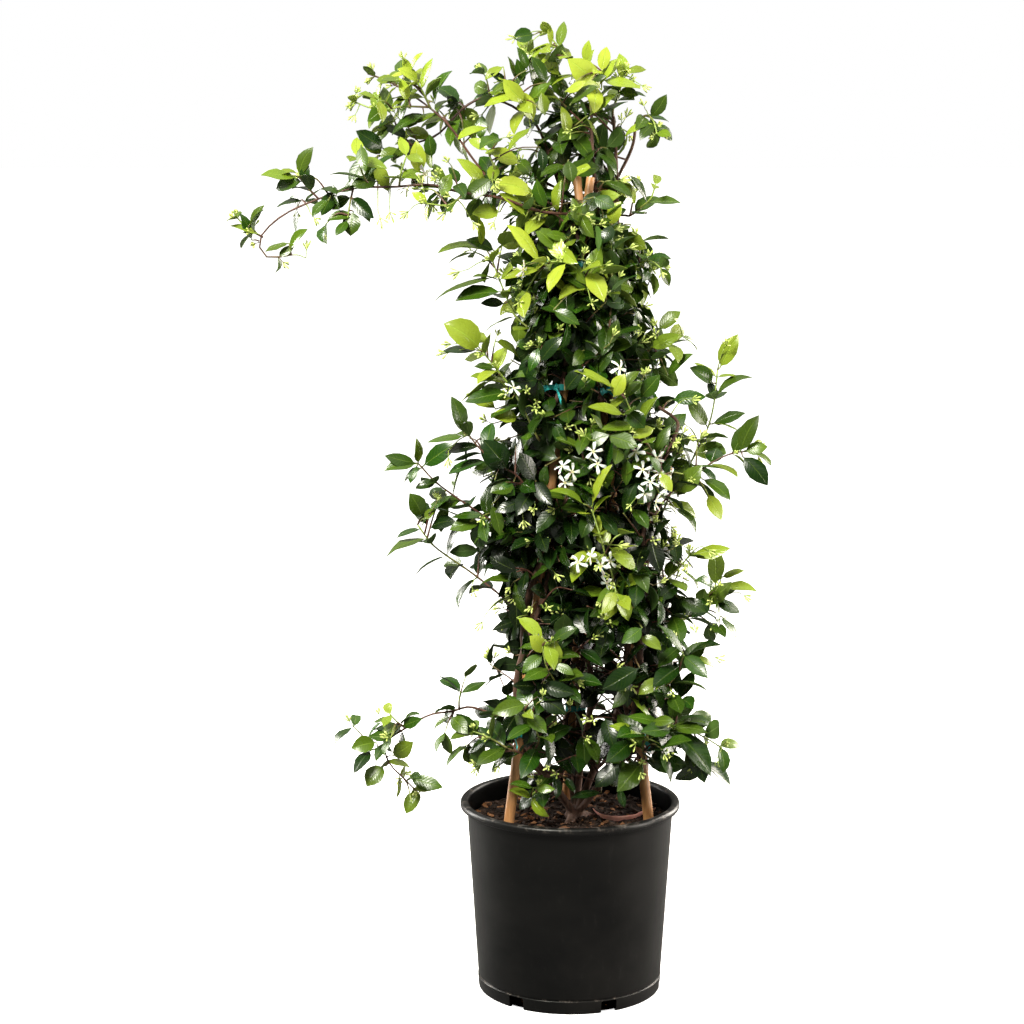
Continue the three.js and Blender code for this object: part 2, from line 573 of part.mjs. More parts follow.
// How a shoot leaves the wood, and where along it the leaf pairs come.
const SHOOT_HEEL = 11;
const SHOOT_BARE = 0.3;
const LONG_BARE = 0.2;
const LAST_PAIR = 0.965;
const ONLY_PAIR = 0.93;
const PAIR_TURN = 90;
const SHOOT_SPREAD = 40;
const JOINT_HEIGHT = 2.4;
const JOINT_SHARE = 0.7;
const ROUTE_STEPS = 60;

// Fills in a shoot's path, the rings of its stem and the places of its leaf pairs.
function layOut(shoot, index) {
  const parent = shoot.on ? SHOOTS.find((other) => other.name === shoot.on) : null;
  const route = shoot.route.map(([x, y, z]) => at(x, y, z));
  const trunks = parent ? [parent.path] : WOOD.map((stem) => stem.points);
  const starts = trunks.map((points) => nearestOn(points, route[0]));
  const start = starts.reduce((a, b) => (a.distance <= b.distance ? a : b));
  const away = route[0].clone().sub(start.point);
  away.addScaledVector(start.tangent, -away.dot(start.tangent));
  const atEnd = start.step < 0.01 || start.step > trunks[starts.indexOf(start)].length - 1.01;
  const controls = [start.point];
  if (!parent && !atEnd) controls.push(start.point.clone().addScaledVector(away.normalize(), SHOOT_HEEL));
  controls.push(...(parent ? route.slice(1) : route));
  const first = shoot.bare ?? SHOOT_BARE;
  const fine = smoothRoute(controls, ROUTE_STEPS);
  const pick = (share) => {
    const place = share * ROUTE_STEPS;
    const low = Math.min(Math.floor(place), ROUTE_STEPS - 1);
    return fine[low].clone().lerp(fine[low + 1], place - low);
  };
  const shares = shoot.pairs > 1 ? taper(first, LAST_PAIR, shoot.pairs) : [ONLY_PAIR];
  shoot.index = index;
  shoot.parent = parent;
  shoot.start = start.point;
  shoot.path = [pick(0)].concat(shares.map(pick), [pick(1)]);
  if (first > LONG_BARE) shoot.path.splice(1, 0, pick(first / 2));
  shoot.firstPair = first > LONG_BARE ? 2 : 1;
  shoot.frames = framesAlong(shoot.path);
  shoot.habit = SHOOT_SPREAD * draw(index, 0, 0, 9);
  shoot.radii = taper(shoot.radius ?? SHOOT_RADIUS, SHOOT_TIP_RADIUS, shoot.path.length);
}

SHOOTS.forEach(layOut);

// ---- The skin of a leafy stem ------------------------------------------------------------------

// A shoot's stem is four-sided. Its corners run ahead of the faces by half a turn from face to face.
function stemCorner(shoot, ring, k) {
  const { point, normal, side } = shoot.frames[ring];
  const angle = degrees(shoot.habit + PAIR_TURN * (k - 0.5));
  const out = normal.clone().multiplyScalar(Math.cos(angle)).addScaledVector(side, Math.sin(angle));
  return point.clone().addScaledVector(out, shoot.radii[ring]);
}

// A leaf or a bud grows from a triangle of a face: two corners of the ring and a point below them.
function jointOf(shoot, ring, face) {
  const right = stemCorner(shoot, ring, face + 1);
  const left = stemCorner(shoot, ring, face);
  const middle = right.clone().lerp(left, 0.5);
  const below = stemCorner(shoot, ring - 1, face).lerp(stemCorner(shoot, ring - 1, face + 1), 0.5);
  const share = Math.min(JOINT_HEIGHT / middle.distanceTo(below), JOINT_SHARE);
  return [middle.lerp(below, share), right, left];
}

// Joins one loop of corners to the next. Loops run anticlockwise seen from the tip. Each face
// between them is split along the diagonal that bulges outward.
function stitch(vertices, triangles, lower, upper) {
  lower.forEach((a, k) => {
    const [b, c, d] = [lower[(k + 1) % lower.length], upper[(k + 1) % lower.length], upper[k]];
    const [toB, toC, toD] = [b, c, d].map((id) => vertices[id].clone().sub(vertices[a]));
    const bulges = toB.cross(toC).dot(toD) <= 0;
    triangles.push(...(bulges ? [a, b, c, a, c, d] : [a, b, d, b, c, d]));
  });
}

// Grows a leaf or bud from its joint: loop by loop, then to its tip. The joint turns to the loop
// that it meets with the least twist.
function growSprout(vertices, triangles, joint, sprout) {
  const twist = (shift) => joint.reduce((sum, id, k) => {
    const goal = sprout.loops[0][(k + shift) % joint.length];
    return sum + vertices[id].distanceTo(goal);
  }, 0);
  const shift = [0, 1, 2].reduce((a, b) => (twist(a) <= twist(b) ? a : b));
  let lower = joint.map((_, k) => joint[(k - shift + joint.length) % joint.length]);
  for (const loop of sprout.loops) {
    const upper = loop.map((p) => vertices.push(p) - 1);
    stitch(vertices, triangles, lower, upper);
    lower = upper;
  }
  const tip = vertices.push(sprout.tip) - 1;
  lower.forEach((a, k) => triangles.push(a, lower[(k + 1) % lower.length], tip));
}

function skinBody(vertices, triangles) {
  const vertProperties = new Float32Array(vertices.flatMap((p) => p.toArray()));
  const triVerts = new Uint32Array(triangles);
  return new wasm.Manifold(new wasm.Mesh({ numProp: 3, vertProperties, triVerts }));
}

// A leaf or bud alone, closed across its joint.
function sproutBody(shoot, sprout) {
  const vertices = jointOf(shoot, sprout.ring, sprout.face);
  const triangles = [0, 2, 1];
  growSprout(vertices, triangles, [0, 1, 2], sprout);
  return skinBody(vertices, triangles);
}

// The stem with all its leaves and buds as one skin. The triangles from `newest` up to `newestEnd`
// are those of the sprout that was added last.
function shootSkin(shoot) {
  const vertices = [];
  const triangles = [];
  const skin = { vertices, triangles };
  const rings = shoot.frames.map((_, ring) =>
    Array.from({ length: STEM_CORNERS }, (_, k) => vertices.push(stemCorner(shoot, ring, k)) - 1));
  const last = rings.length - 1;
  triangles.push(rings[0][0], rings[0][3], rings[0][2], rings[0][0], rings[0][2], rings[0][1]);
  triangles.push(rings[last][0], rings[last][1], rings[last][2]);
  triangles.push(rings[last][0], rings[last][2], rings[last][3]);
  for (let ring = 1; ring <= last; ring++) {
    for (let face = 0; face < STEM_CORNERS; face++) {
      const next = (face + 1) % STEM_CORNERS;
      const [a, b] = [rings[ring - 1][face], rings[ring - 1][next]];
      const [c, d] = [rings[ring][next], rings[ring][face]];
      const sprout = shoot.sprouts.find((one) => one.ring === ring && one.face === face);
      if (!sprout) {
        triangles.push(a, b, c, a, c, d);
        continue;
      }
      const newest = triangles.length;
      const low = vertices.push(jointOf(shoot, ring, face)[0]) - 1;
      triangles.push(a, b, low, b, c, low, d, a, low);
      growSprout(vertices, triangles, [low, c, d], sprout);
      if (sprout === shoot.sprouts.at(-1)) Object.assign(skin, { newest, newestEnd: triangles.length });
    }
  }
  return skin;
}

function shootBody(shoot) {
  const { vertices, triangles } = shootSkin(shoot);
  return skinBody(vertices, triangles);
}

// Whether the straight line between two points passes through a triangle.
function pierces(from, to, corners) {
  const span = from.distanceTo(to);
  const ray = new THREE.Ray(from, to.clone().sub(from).divideScalar(span));
  const hit = ray.intersectTriangle(...corners, false, at(0, 0, 0));
  return hit !== null && hit.distanceTo(from) < span;
}

// Whether an edge of one triangle passes through another. Edges that share a corner with it don't.
function edgesPierce(vertices, one, other) {
  return one.some((from, k) => {
    const to = one[(k + 1) % one.length];
    if (other.includes(from) || other.includes(to)) return false;
    return pierces(vertices[from], vertices[to], other.map((id) => vertices[id]));
  });
}

// Whether the newest sprout of a shoot crosses itself or the rest of the skin.
function skinCrosses(shoot) {
  const { vertices, triangles, newest, newestEnd } = shootSkin(shoot);
  const trios = [];
  for (let k = 0; k < triangles.length; k += 3) trios.push(triangles.slice(k, k + 3));
  const boxes = trios.map((trio) => new THREE.Box3().setFromPoints(trio.map((id) => vertices[id])));
  return trios.slice(newest / 3, newestEnd / 3).some((one, k) => {
    const box = boxes[newest / 3 + k];
    return trios.some((other, j) => box.intersectsBox(boxes[j])
      && (edgesPierce(vertices, one, other) || edgesPierce(vertices, other, one)));
  });
}

// ---- Leaves ------------------------------------------------------------------------------------

// A leaf tries these turns, lifts and sizes in order until it stands clear of everything else.
const TURNS = [0, 24, -24, 0, 0, 48, -48, 20, -20];
const LIFTS = [0, 0, 0, 0.45, -0.45, 0.2, 0.2, -0.6, 0.6];
const SIZES = [1, 1, 1, 0.95, 0.95, 0.85, 0.85, 0.75, 0.75];
const ATTEMPTS = TURNS.length;

// How leaves grow, in degrees and shares: pairs stand crosswise, every leaf turns, rises and rolls
// a little its own way, and the youngest pairs at a tip are the smallest.
const LEAF_SPREAD = 24;
const LEAF_FORWARD = { least: 22, spread: 26 };
const LEAF_RISE = { spread: 0.5, centre: 0.55 };
const LEAF_ROLL = 56;
const FACE_TO_FRONT = 0.35;
const FACE_ALONG_STEM = 0.8;
const TIP_SHRINK = 0.32;
const LENGTH_RANGE = { least: 0.86, spread: 0.2 };
const WIDTH_RANGE = { least: 0.4, spread: 0.1 };
const CURL_RANGE = { least: 0.15, spread: 0.75 };

// Where a leaf sits and how it lies: its root, its way out, its upper face and its sizes.
function leafPlan(shoot, pair, side, attempt) {
  const frame = shoot.frames[shoot.firstPair + pair];
  const chance = (salt) => draw(shoot.index, pair, side, salt);
  const spread = LEAF_SPREAD * (chance(1) - 0.5) + TURNS[attempt];
  const turn = shoot.habit + PAIR_TURN * (pair + 2 * side) + spread;
  const out = frame.normal.clone().multiplyScalar(Math.cos(degrees(turn)));
  out.addScaledVector(frame.side, Math.sin(degrees(turn)));
  const forward = degrees(LEAF_FORWARD.least + LEAF_FORWARD.spread * chance(2));
  const along = out.multiplyScalar(Math.cos(forward)).addScaledVector(frame.tangent, Math.sin(forward));
  along.z += LIFTS[attempt] + LEAF_RISE.spread * (chance(3) - LEAF_RISE.centre);
  along.normalize();
  const face = frame.tangent.clone().multiplyScalar(FACE_ALONG_STEM).add(UP);
  face.y -= FACE_TO_FRONT;
  face.addScaledVector(along, -face.dot(along)).normalize();
  face.applyAxisAngle(along, degrees(LEAF_ROLL * (chance(4) - 0.5)));
  const young = pair / Math.max(shoot.pairs - 1, 1);
  const growth = (1 - TIP_SHRINK * young ** 3) * (LENGTH_RANGE.least + LENGTH_RANGE.spread * chance(5));
  const length = shoot.leaf * SIZES[attempt] * growth;
  return {
    root: frame.point, along, face, length,
    across: face.clone().cross(along),
    width: length * (WIDTH_RANGE.least + WIDTH_RANGE.spread * chance(6)),
    curl: CURL_RANGE.least + CURL_RANGE.spread * chance(7),
  };
}

// The blade's cross-sections: a keel and two edges, widest before the middle.
const BLADE = [
  { reach: 0.36, width: 0.96 },
  { reach: 0.72, width: 0.8 },
];

// The arc that the midrib bends through: a point of it and the upward normal there.
function midrib(leaf, reach) {
  const bend = leaf.curl * reach;
  const point = leaf.root.clone();
  point.addScaledVector(leaf.along, (leaf.length * Math.sin(bend)) / leaf.curl);
  point.addScaledVector(leaf.face, (-leaf.length * (1 - Math.cos(bend))) / leaf.curl);
  const normal = leaf.face.clone().multiplyScalar(Math.cos(bend)).addScaledVector(leaf.along, Math.sin(bend));
  return { point, normal };
}

function leafSprout(shoot, pair, side, attempt) {
  const leaf = leafPlan(shoot, pair, side, attempt);
  const loops = BLADE.map(({ reach, width }) => {
    const { point, normal } = midrib(leaf, reach);
    const half = (leaf.width * width) / 2;
    return [
      point.clone().addScaledVector(normal, -LEAF_KEEL),
      point.clone().addScaledVector(leaf.across, half),
      point.clone().addScaledVector(leaf.across, -half),
    ];
  });
  return {
    ring: shoot.firstPair + pair,
    face: (pair + 2 * side) % STEM_CORNERS,
    loops,
    tip: midrib(leaf, 1).point,
  };
}

// ---- Buds and open flowers ---------------------------------------------------------------------

const BUDS_AT_PAIR = 2;
const BUD_PAIRS = 2;
const BUD_LENGTH = 16;
const BUD_RADIUS = 1.5;
const BUD_SWELL = 0.72;
const BUD_SPREAD = 50;
const BUD_FORWARD = { least: 0.4, spread: 1.0 };
const BUD_RANGE = { least: 0.8, spread: 0.5 };
const BUD_TRIES = 4;
const PETALS = 5;
const PETAL_LENGTH = 12.5;
const PETAL_WIDTH = 6;
const FLOWER_TUBE = 11;

// A slim club from a root point: narrow at the root, widest near the end.
function spindle(root, way, length, radius, swell, sides) {
  const frames = framesAlong([root, root.clone().add(way)]);
  const { tangent, normal, side } = frames[0];
  return solid(reshape(new THREE.SphereGeometry(1, sides, 2), (x, y, z) => {
    const ring = Math.round(1 - y);
    const point = root.clone().addScaledVector(tangent, length * [0, swell, 1][ring]);
    return ring === 1 ? point.addScaledVector(normal, x * radius).addScaledVector(side, z * radius) : point;
  }));
}

// A bud is a slim club from one of the two faces that a leaf pair leaves free.
function budSprout(shoot, pair, bud, attempt) {
  const ring = shoot.firstPair + pair;
  const face = (pair + 1 + 2 * bud) % STEM_CORNERS;
  const { point, normal, side, tangent } = shoot.frames[ring];
  const chance = (salt) => draw(shoot.index, pair, bud, salt);
  const turn = degrees(shoot.habit + PAIR_TURN * face + BUD_SPREAD * (chance(20 + attempt) - 0.5));
  const way = normal.clone().multiplyScalar(Math.cos(turn)).addScaledVector(side, Math.sin(turn));
  way.addScaledVector(tangent, BUD_FORWARD.least + BUD_FORWARD.spread * chance(30 + attempt)).normalize();
  const length = BUD_LENGTH * (BUD_RANGE.least + BUD_RANGE.spread * chance(40));
  const across = way.clone().cross(tangent).normalize();
  const up = across.clone().cross(way);
  const middle = point.clone().addScaledVector(way, length * BUD_SWELL);
  const loop = [-90, 30, 150].map((angle) => {
    const right = BUD_RADIUS * Math.cos(degrees(angle));
    const rise = BUD_RADIUS * Math.sin(degrees(angle));
    return middle.clone().addScaledVector(across, -right).addScaledVector(up, rise);
  });
  return { ring, face, loops: [loop], tip: point.clone().addScaledVector(way, length) };
}

// An open flower: a slim tube and five petals set like a pinwheel round its mouth.
function bloomBody(shoot, pair, heading) {
  const frame = shoot.frames[shoot.firstPair + pair];
  const way = at(Math.cos(degrees(heading)), Math.sin(degrees(heading)), 0.28);
  way.addScaledVector(frame.tangent, -way.dot(frame.tangent)).normalize();
  const start = frame.point.clone().addScaledVector(way, shoot.radii[shoot.firstPair + pair] + CLEARANCE);
  const mouth = start.clone().addScaledVector(way, FLOWER_TUBE);
  const { normal, side } = framesAlong([start, mouth])[0];
  const pieces = [spindle(start, way, FLOWER_TUBE + 2, 1.4, 0.8, 5)];
  for (let i = 0; i < PETALS; i++) {
    const angle = (2 * Math.PI * i) / PETALS;
    const along = normal.clone().multiplyScalar(Math.cos(angle)).addScaledVector(side, Math.sin(angle));
    const face = way.clone().applyAxisAngle(along, degrees(24));
    const petal = { root: mouth, along, face, length: PETAL_LENGTH, width: PETAL_WIDTH };
    petal.across = face.clone().cross(along);
    pieces.push(petalBody(petal));
  }
  return wasm.Manifold.union(pieces);
}

function petalBody(petal) {
  const widths = [0, 0.62, 0.9, 0];
  const reaches = [0, 0.45, 0.86, 1];
  return solid(reshape(new THREE.SphereGeometry(1, 4, 3), (x, y, z) => {
    const ring = Math.round((Math.acos(THREE.MathUtils.clamp(y, -1, 1)) / Math.PI) * 3);
    const point = petal.root.clone().addScaledVector(petal.along, petal.length * reaches[ring]);
    point.addScaledVector(petal.face, -petal.length * 0.12 * reaches[ring] ** 2);
    if (widths[ring] === 0) return point;
    const half = (petal.width / 2) * widths[ring];
    const skew = Math.sign(Math.round(x * 10)) * half + half * 0.25;
    point.addScaledVector(petal.across, Math.abs(x) > 0.1 ? skew : half * 0.25);
    return point.addScaledVector(petal.face, Math.sign(Math.round(z * 10)) * 0.45);
  }));
}

// ---- Assembly ----------------------------------------------------------------------------------

const finishes = {
  pot: { color: 0x1b1b1c, roughness: 0.55, metalness: 0 },
  soil: { color: 0x2c1c13, roughness: 0.95, metalness: 0 },
  cane: { color: 0xb9783f, roughness: 0.6, metalness: 0 },
  wood: { color: 0x4a2c20, roughness: 0.8, metalness: 0 },
  leaf: { color: 0x2f6a1e, roughness: 0.4, metalness: 0 },
  petal: { color: 0xf5f4ea, roughness: 0.6, metalness: 0 },
  tie: { color: 0x0b6a66, roughness: 0.5, metalness: 0 },
  strap: { color: 0xd9837a, roughness: 0.5, metalness: 0 },
};
const materials = {};
for (const [name, look] of Object.entries(finishes)) materials[name] = new THREE.MeshStandardMaterial(look);

const plant = new THREE.Group();

function addNode(name, body, finish) {
  const mesh = new THREE.Mesh(geometryOf(body), materials[finish]);
  mesh.name = name;
  plant.add(mesh);
}

// Everything placed so far, with its box, so that what comes later keeps clear of it.
const placed = [];

function claim(body, owner, pair) {
  const box = body.boundingBox();
  placed.push({ body, owner, pair, box });
  return body;
}

function near(a, b) {
  return [0, 1, 2].every((k) => a.min[k] <= b.max[k] + 1 && b.min[k] <= a.max[k] + 1);
}

function standsClear(body, isOwn) {
  const box = body.boundingBox();
  const clears = (other) => isOwn(other) || body.minGap(other.body, 1) >= CLEARANCE;
  return placed.every((other) => !near(box, other.box) || clears(other));
}

const pot = claim(potBody(), 'pot');
const woodStems = claim(woodBody(), 'woody_stems');
const caneBodies = Object.values(CANES).map((cane) => claim(caneBody(cane, 0), 'cane'));
const strap = claim(strapBody(0), 'strap');
const holes = Object.values(CANES).map((cane) => caneBody(cane, CLEARANCE));
const soil = claim(soilBody(holes.concat([crownBody(CLEARANCE + 0.1), strapBody(CLEARANCE)])), 'soil');
addNode('pot', pot, 'pot');
addNode('soil', soil, 'soil');
Object.keys(CANES).forEach((name, i) => addNode(`cane_${name}`, caneBodies[i], 'cane'));
addNode('woody_stems', woodStems, 'wood');
addNode('label_strap', strap, 'strap');
for (const [name, tie] of Object.entries(TIES)) addNode(name, claim(tieBody(tie), name), 'tie');

// A stem on the wood starts where its cut end just clears the bark.
function bareStem(shoot) {
  const first = shoot.frames[0].point.clone();
  const way = shoot.frames[1].point.clone().sub(first).normalize();
  const room = first.distanceTo(shoot.frames[1].point) - 1;
  shoot.sprouts = [];
  if (shoot.parent) return shootBody(shoot);
  for (let start = BARK_SEARCH_START; ; start += BARK_SEARCH_STEP) {
    shoot.frames[0].point = first.clone().addScaledVector(way, start);
    const stem = shootBody(shoot);
    if (start >= room || stem.minGap(woodStems, 2) >= CLEARANCE) return stem;
  }
}

// Stems come first, then the open flowers, the leaves and the buds, each clear of all that is placed.
for (const shoot of SHOOTS) claim(bareStem(shoot), shoot.name);

let bloomCount = 0;
for (const shoot of SHOOTS) {
  for (const [pair, heading] of shoot.blooms ?? []) {
    bloomCount += 1;
    addNode(`bloom_${bloomCount}`, claim(bloomBody(shoot, pair, heading), 'bloom'), 'petal');
  }
}

// Adds the first of some tries at a leaf or bud that stands clear, or none.
function grow(shoot, pair, tries, plan) {
  const isOwn = (other) => other.owner === shoot.name && (other.pair === undefined || other.pair === pair);
  for (let attempt = 0; attempt < tries; attempt++) {
    const sprout = plan(attempt);
    const body = sproutBody(shoot, sprout);
    if (!standsClear(body, isOwn)) continue;
    shoot.sprouts.push(sprout);
    if (!skinCrosses(shoot)) {
      claim(body, shoot.name, pair);
      return;
    }
    shoot.sprouts.pop();
  }
}

for (const shoot of SHOOTS) {
  for (let pair = shoot.pairs - 1; pair >= 0; pair--) {
    if (shoot.skip?.includes(pair)) continue;
    for (const side of [0, 1]) {
      grow(shoot, pair, ATTEMPTS, (attempt) => leafSprout(shoot, pair, side, attempt));
    }
  }
}

for (const shoot of SHOOTS.filter((one) => one.buds)) {
  for (let pair = shoot.pairs - BUD_PAIRS; pair < shoot.pairs; pair++) {
    for (let bud = 0; bud < BUDS_AT_PAIR; bud++) {
      grow(shoot, pair, BUD_TRIES, (attempt) => budSprout(shoot, pair, bud, attempt));
    }
  }
}

// A leafy stem is one body: the shoot from the wood with every shoot that grows from it.
for (const shoot of SHOOTS.filter((one) => !one.parent)) {
  const family = SHOOTS.filter((one) => one === shoot || one.parent === shoot);
  const skins = family.map(shootBody);
  const body = skins.length > 1 ? wasm.Manifold.union(skins).simplify(SIMPLIFY) : skins[0];
  addNode(shoot.name, body, 'leaf');
}

export default plant;
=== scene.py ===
"""Dresses the potted star jasmine: its looks, floor, light and camera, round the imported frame.

Metres, +Z up, origin under the middle of the pot. The front of the plant faces -Y.
"""
import json
import math

import bmesh
import bpy
import numpy as np
from mathutils import Matrix, Quaternion, Vector, noise
from mathutils.kdtree import KDTree

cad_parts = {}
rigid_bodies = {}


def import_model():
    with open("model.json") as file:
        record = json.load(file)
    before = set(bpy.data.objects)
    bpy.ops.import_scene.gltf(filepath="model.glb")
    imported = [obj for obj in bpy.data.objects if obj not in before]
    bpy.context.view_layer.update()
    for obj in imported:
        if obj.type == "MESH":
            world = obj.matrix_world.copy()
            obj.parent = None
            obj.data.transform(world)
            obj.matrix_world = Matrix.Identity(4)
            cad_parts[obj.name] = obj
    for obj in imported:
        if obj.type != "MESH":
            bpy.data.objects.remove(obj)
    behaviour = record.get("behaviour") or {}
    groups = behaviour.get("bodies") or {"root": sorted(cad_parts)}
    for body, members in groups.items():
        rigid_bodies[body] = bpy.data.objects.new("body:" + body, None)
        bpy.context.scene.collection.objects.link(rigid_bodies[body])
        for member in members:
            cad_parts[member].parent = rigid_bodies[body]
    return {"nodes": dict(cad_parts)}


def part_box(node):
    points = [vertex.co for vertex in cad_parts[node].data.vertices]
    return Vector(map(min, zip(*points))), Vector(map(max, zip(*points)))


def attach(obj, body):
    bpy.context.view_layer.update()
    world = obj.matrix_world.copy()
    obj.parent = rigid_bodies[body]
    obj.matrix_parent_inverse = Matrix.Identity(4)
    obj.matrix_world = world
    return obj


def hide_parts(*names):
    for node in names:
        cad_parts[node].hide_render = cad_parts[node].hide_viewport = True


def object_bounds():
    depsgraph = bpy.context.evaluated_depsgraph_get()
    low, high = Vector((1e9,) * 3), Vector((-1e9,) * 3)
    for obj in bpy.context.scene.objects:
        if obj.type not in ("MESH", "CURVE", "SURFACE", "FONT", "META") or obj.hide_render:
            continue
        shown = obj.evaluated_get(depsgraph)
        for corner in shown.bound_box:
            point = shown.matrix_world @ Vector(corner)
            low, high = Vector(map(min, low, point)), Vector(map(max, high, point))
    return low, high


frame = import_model()
cad_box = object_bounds()
MM = 0.001
UP = Vector((0, 0, 1))
scene = bpy.context.scene


# ---- Pot ---------------------------------------------------------------------------------------
# A blow-moulded black can of about 15 litres: a foot band with six drain slots, a tapered wall and
# a rim rolled outwards. The polythene is dull black with fine rubs and a little dried dust.
POT_HEIGHT = 265 * MM
POT_BASE_RADIUS = 125.5 * MM
POT_WALL_TOP_RADIUS = 141 * MM
POT_RIM_RADIUS = 150.3 * MM
POT_WALL = 2.6 * MM
FOOT_HEIGHT = 19 * MM
POT_STEPS = 128
DRAIN_COUNT = 6
DRAIN_SIZE = Vector((22, 23, 18)) * MM
DRAIN_CENTRE_HEIGHT = 8 * MM
DRAIN_FIRST_ANGLE = math.radians(-66)
DRAIN_CORNER = 2.2 * MM


def arc(centre, radius, start, end, count):
    """Points of a round stretch of an outline, from one angle to another in degrees."""
    turns = [math.radians(start + (end - start) * i / count) for i in range(count + 1)]
    return [(centre[0] + radius * math.cos(a), centre[1] + radius * math.sin(a)) for a in turns]


def turned(bm, outline, steps):
    """Turns an outline of (radius, height) points a full circle round the upright axis."""
    verts = [bm.verts.new((r, 0, z)) for r, z in outline]
    edges = [bm.edges.new(pair) for pair in zip(verts, verts[1:])]
    bmesh.ops.spin(bm, geom=verts + edges, cent=(0, 0, 0), axis=(0, 0, 1),
                   angle=2 * math.pi, steps=steps, use_merge=True)
    bmesh.ops.remove_doubles(bm, verts=bm.verts, dist=1e-6)
    bmesh.ops.recalc_face_normals(bm, faces=bm.faces)


def mesh_from(bm, name):
    """Makes a mesh of a finished bmesh."""
    mesh = bpy.data.meshes.new(name)
    bm.to_mesh(mesh)
    bm.free()
    return mesh


def set_down(name, data):
    """Puts a mesh, a curve, a lamp or a camera into the scene."""
    made = bpy.data.objects.new(name, data)
    scene.collection.objects.link(made)
    return made


def piece_from(bm, name, *materials, smooth=True):
    """Makes a mesh object of a finished bmesh and gives it to the plant's one body."""
    for face in bm.faces:
        face.smooth = smooth
    piece = set_down(name, mesh_from(bm, name))
    for material in materials:
        piece.data.materials.append(material)
    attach(piece, "root")
    return piece


def shape_of(piece):
    """The piece's mesh with its modifiers worked in, as a new mesh."""
    bpy.context.view_layer.update()
    evaluated = piece.evaluated_get(bpy.context.evaluated_depsgraph_get())
    return bpy.data.meshes.new_from_object(evaluated)


class Nodes:
    """Builds a node tree, one node at a time."""

    def __init__(self, tree):
        self.tree = tree

    def node(self, kind, settings=None, **inputs):
        """Adds a node. Inputs are values, or outputs of other nodes to link."""
        made = self.tree.nodes.new(kind)
        for key, value in (settings or {}).items():
            setattr(made, key, value)
        for key, value in inputs.items():
            self.feed(made, key.replace("_", " "), value)
        return made

    def feed(self, made, key, value):
        """Sets or links one input, known by its name or as i and its number."""
        socket = made.inputs[int(key[1:])] if key[1:].isdigit() and key[0] == "i" else made.inputs[key]
        if isinstance(value, bpy.types.NodeSocket):
            self.tree.links.new(value, socket)
        else:
            socket.default_value = value

    def math(self, operation, *values):
        inputs = {f"i{number}": value for number, value in enumerate(values)}
        return self.node("ShaderNodeMath", {"operation": operation}, **inputs).outputs[0]

    def ramp(self, value, low, high, start=0.0, end=1.0, curve="LINEAR"):
        """Rescales a value from low..high to start..end, held within them."""
        made = self.node("ShaderNodeMapRange", {"interpolation_type": curve}, Value=value,
                         From_Min=low, From_Max=high, To_Min=start, To_Max=end)
        return made.outputs["Result"]


class Finish(Nodes):
    """A material that is built round one Principled shader."""

    def __init__(self, name, **values):
        self.material = bpy.data.materials.new(name)
        self.material.use_nodes = True
        super().__init__(self.material.node_tree)
        self.shader = self.tree.nodes["Principled BSDF"]
        self.sets(**values)

    def sets(self, **inputs):
        for key, value in inputs.items():
            self.feed(self.shader, key.replace("_", " "), value)

    def place(self):
        return self.node("ShaderNodeTexCoord").outputs["Object"]

    def height(self):
        return self.node("ShaderNodeSeparateXYZ", i0=self.place()).outputs["Z"]

    def stretched(self, scale, source=None):
        """The place of a point, drawn out along the axes, for a pattern with a grain."""
        source = source or self.place()
        return self.node("ShaderNodeMapping", Vector=source, Scale=scale).outputs["Vector"]

    def speckle(self, scale, detail=4.0, roughness=0.55, source=None):
        """Cloudy noise from 0 to 1."""
        made = self.node("ShaderNodeTexNoise", Vector=source or self.place(), Scale=scale,
                         Detail=detail, Roughness=roughness)
        return made.outputs["Fac"]

    def blend(self, share, a, b):
        """Mixes two colours."""
        return self.node("ShaderNodeMix", {"data_type": "RGBA"}, i0=share, i6=a, i7=b).outputs[2]

    def shades(self, value, low, high, first, second, most=1.0):
        """Goes from the first colour to the second as a value rises from low to high."""
        return self.blend(self.ramp(value, low, high, 0.0, most), first, second)

    def attribute(self, name):
        return self.node("ShaderNodeAttribute", {"attribute_name": name}).outputs["Fac"]

    def bump(self, height, distance, strength):
        made = self.node("ShaderNodeBump", Height=height, Distance=distance, Strength=strength)
        self.sets(Normal=made.outputs["Normal"])


def rgb(red, green, blue):
    return (red, green, blue, 1.0)


def pot_wall_radius(z):
    share = (z - FOOT_HEIGHT) / (POT_HEIGHT - 11 * MM - FOOT_HEIGHT)
    return POT_BASE_RADIUS + 0.4 * MM + (POT_WALL_TOP_RADIUS - POT_BASE_RADIUS - 0.4 * MM) * share


plastic = Finish("Black polythene")
cloud = plastic.speckle(7.0, 5.0, source=plastic.stretched((1.0, 1.0, 2.0)))
scuff = plastic.speckle(150.0, 4.0, 0.7, source=plastic.stretched((1.0, 1.0, 0.3)))
height = plastic.height()
from_edge = plastic.math("ABSOLUTE", plastic.math("SUBTRACT", height, FOOT_HEIGHT))
edges = plastic.math("MAXIMUM", plastic.ramp(from_edge, 0.7 * MM, 2 * MM, 1.0, 0.0),
                     plastic.ramp(height, POT_HEIGHT - 7 * MM, POT_HEIGHT - 2 * MM))
rubs = plastic.ramp(plastic.speckle(80.0, 5.0, 0.7), 0.52, 0.7, 0.0, 0.6)
colour = plastic.shades(cloud, 0.35, 0.7, rgb(0.0015, 0.0015, 0.0017), rgb(0.0045, 0.0043, 0.0042))
dust = plastic.speckle(4.0, 6.0, 0.65)
colour = plastic.shades(dust, 0.52, 0.85, colour, rgb(0.028, 0.025, 0.023), 0.25)
colour = plastic.shades(scuff, 0.6, 0.85, colour, rgb(0.06, 0.057, 0.054), 0.14)
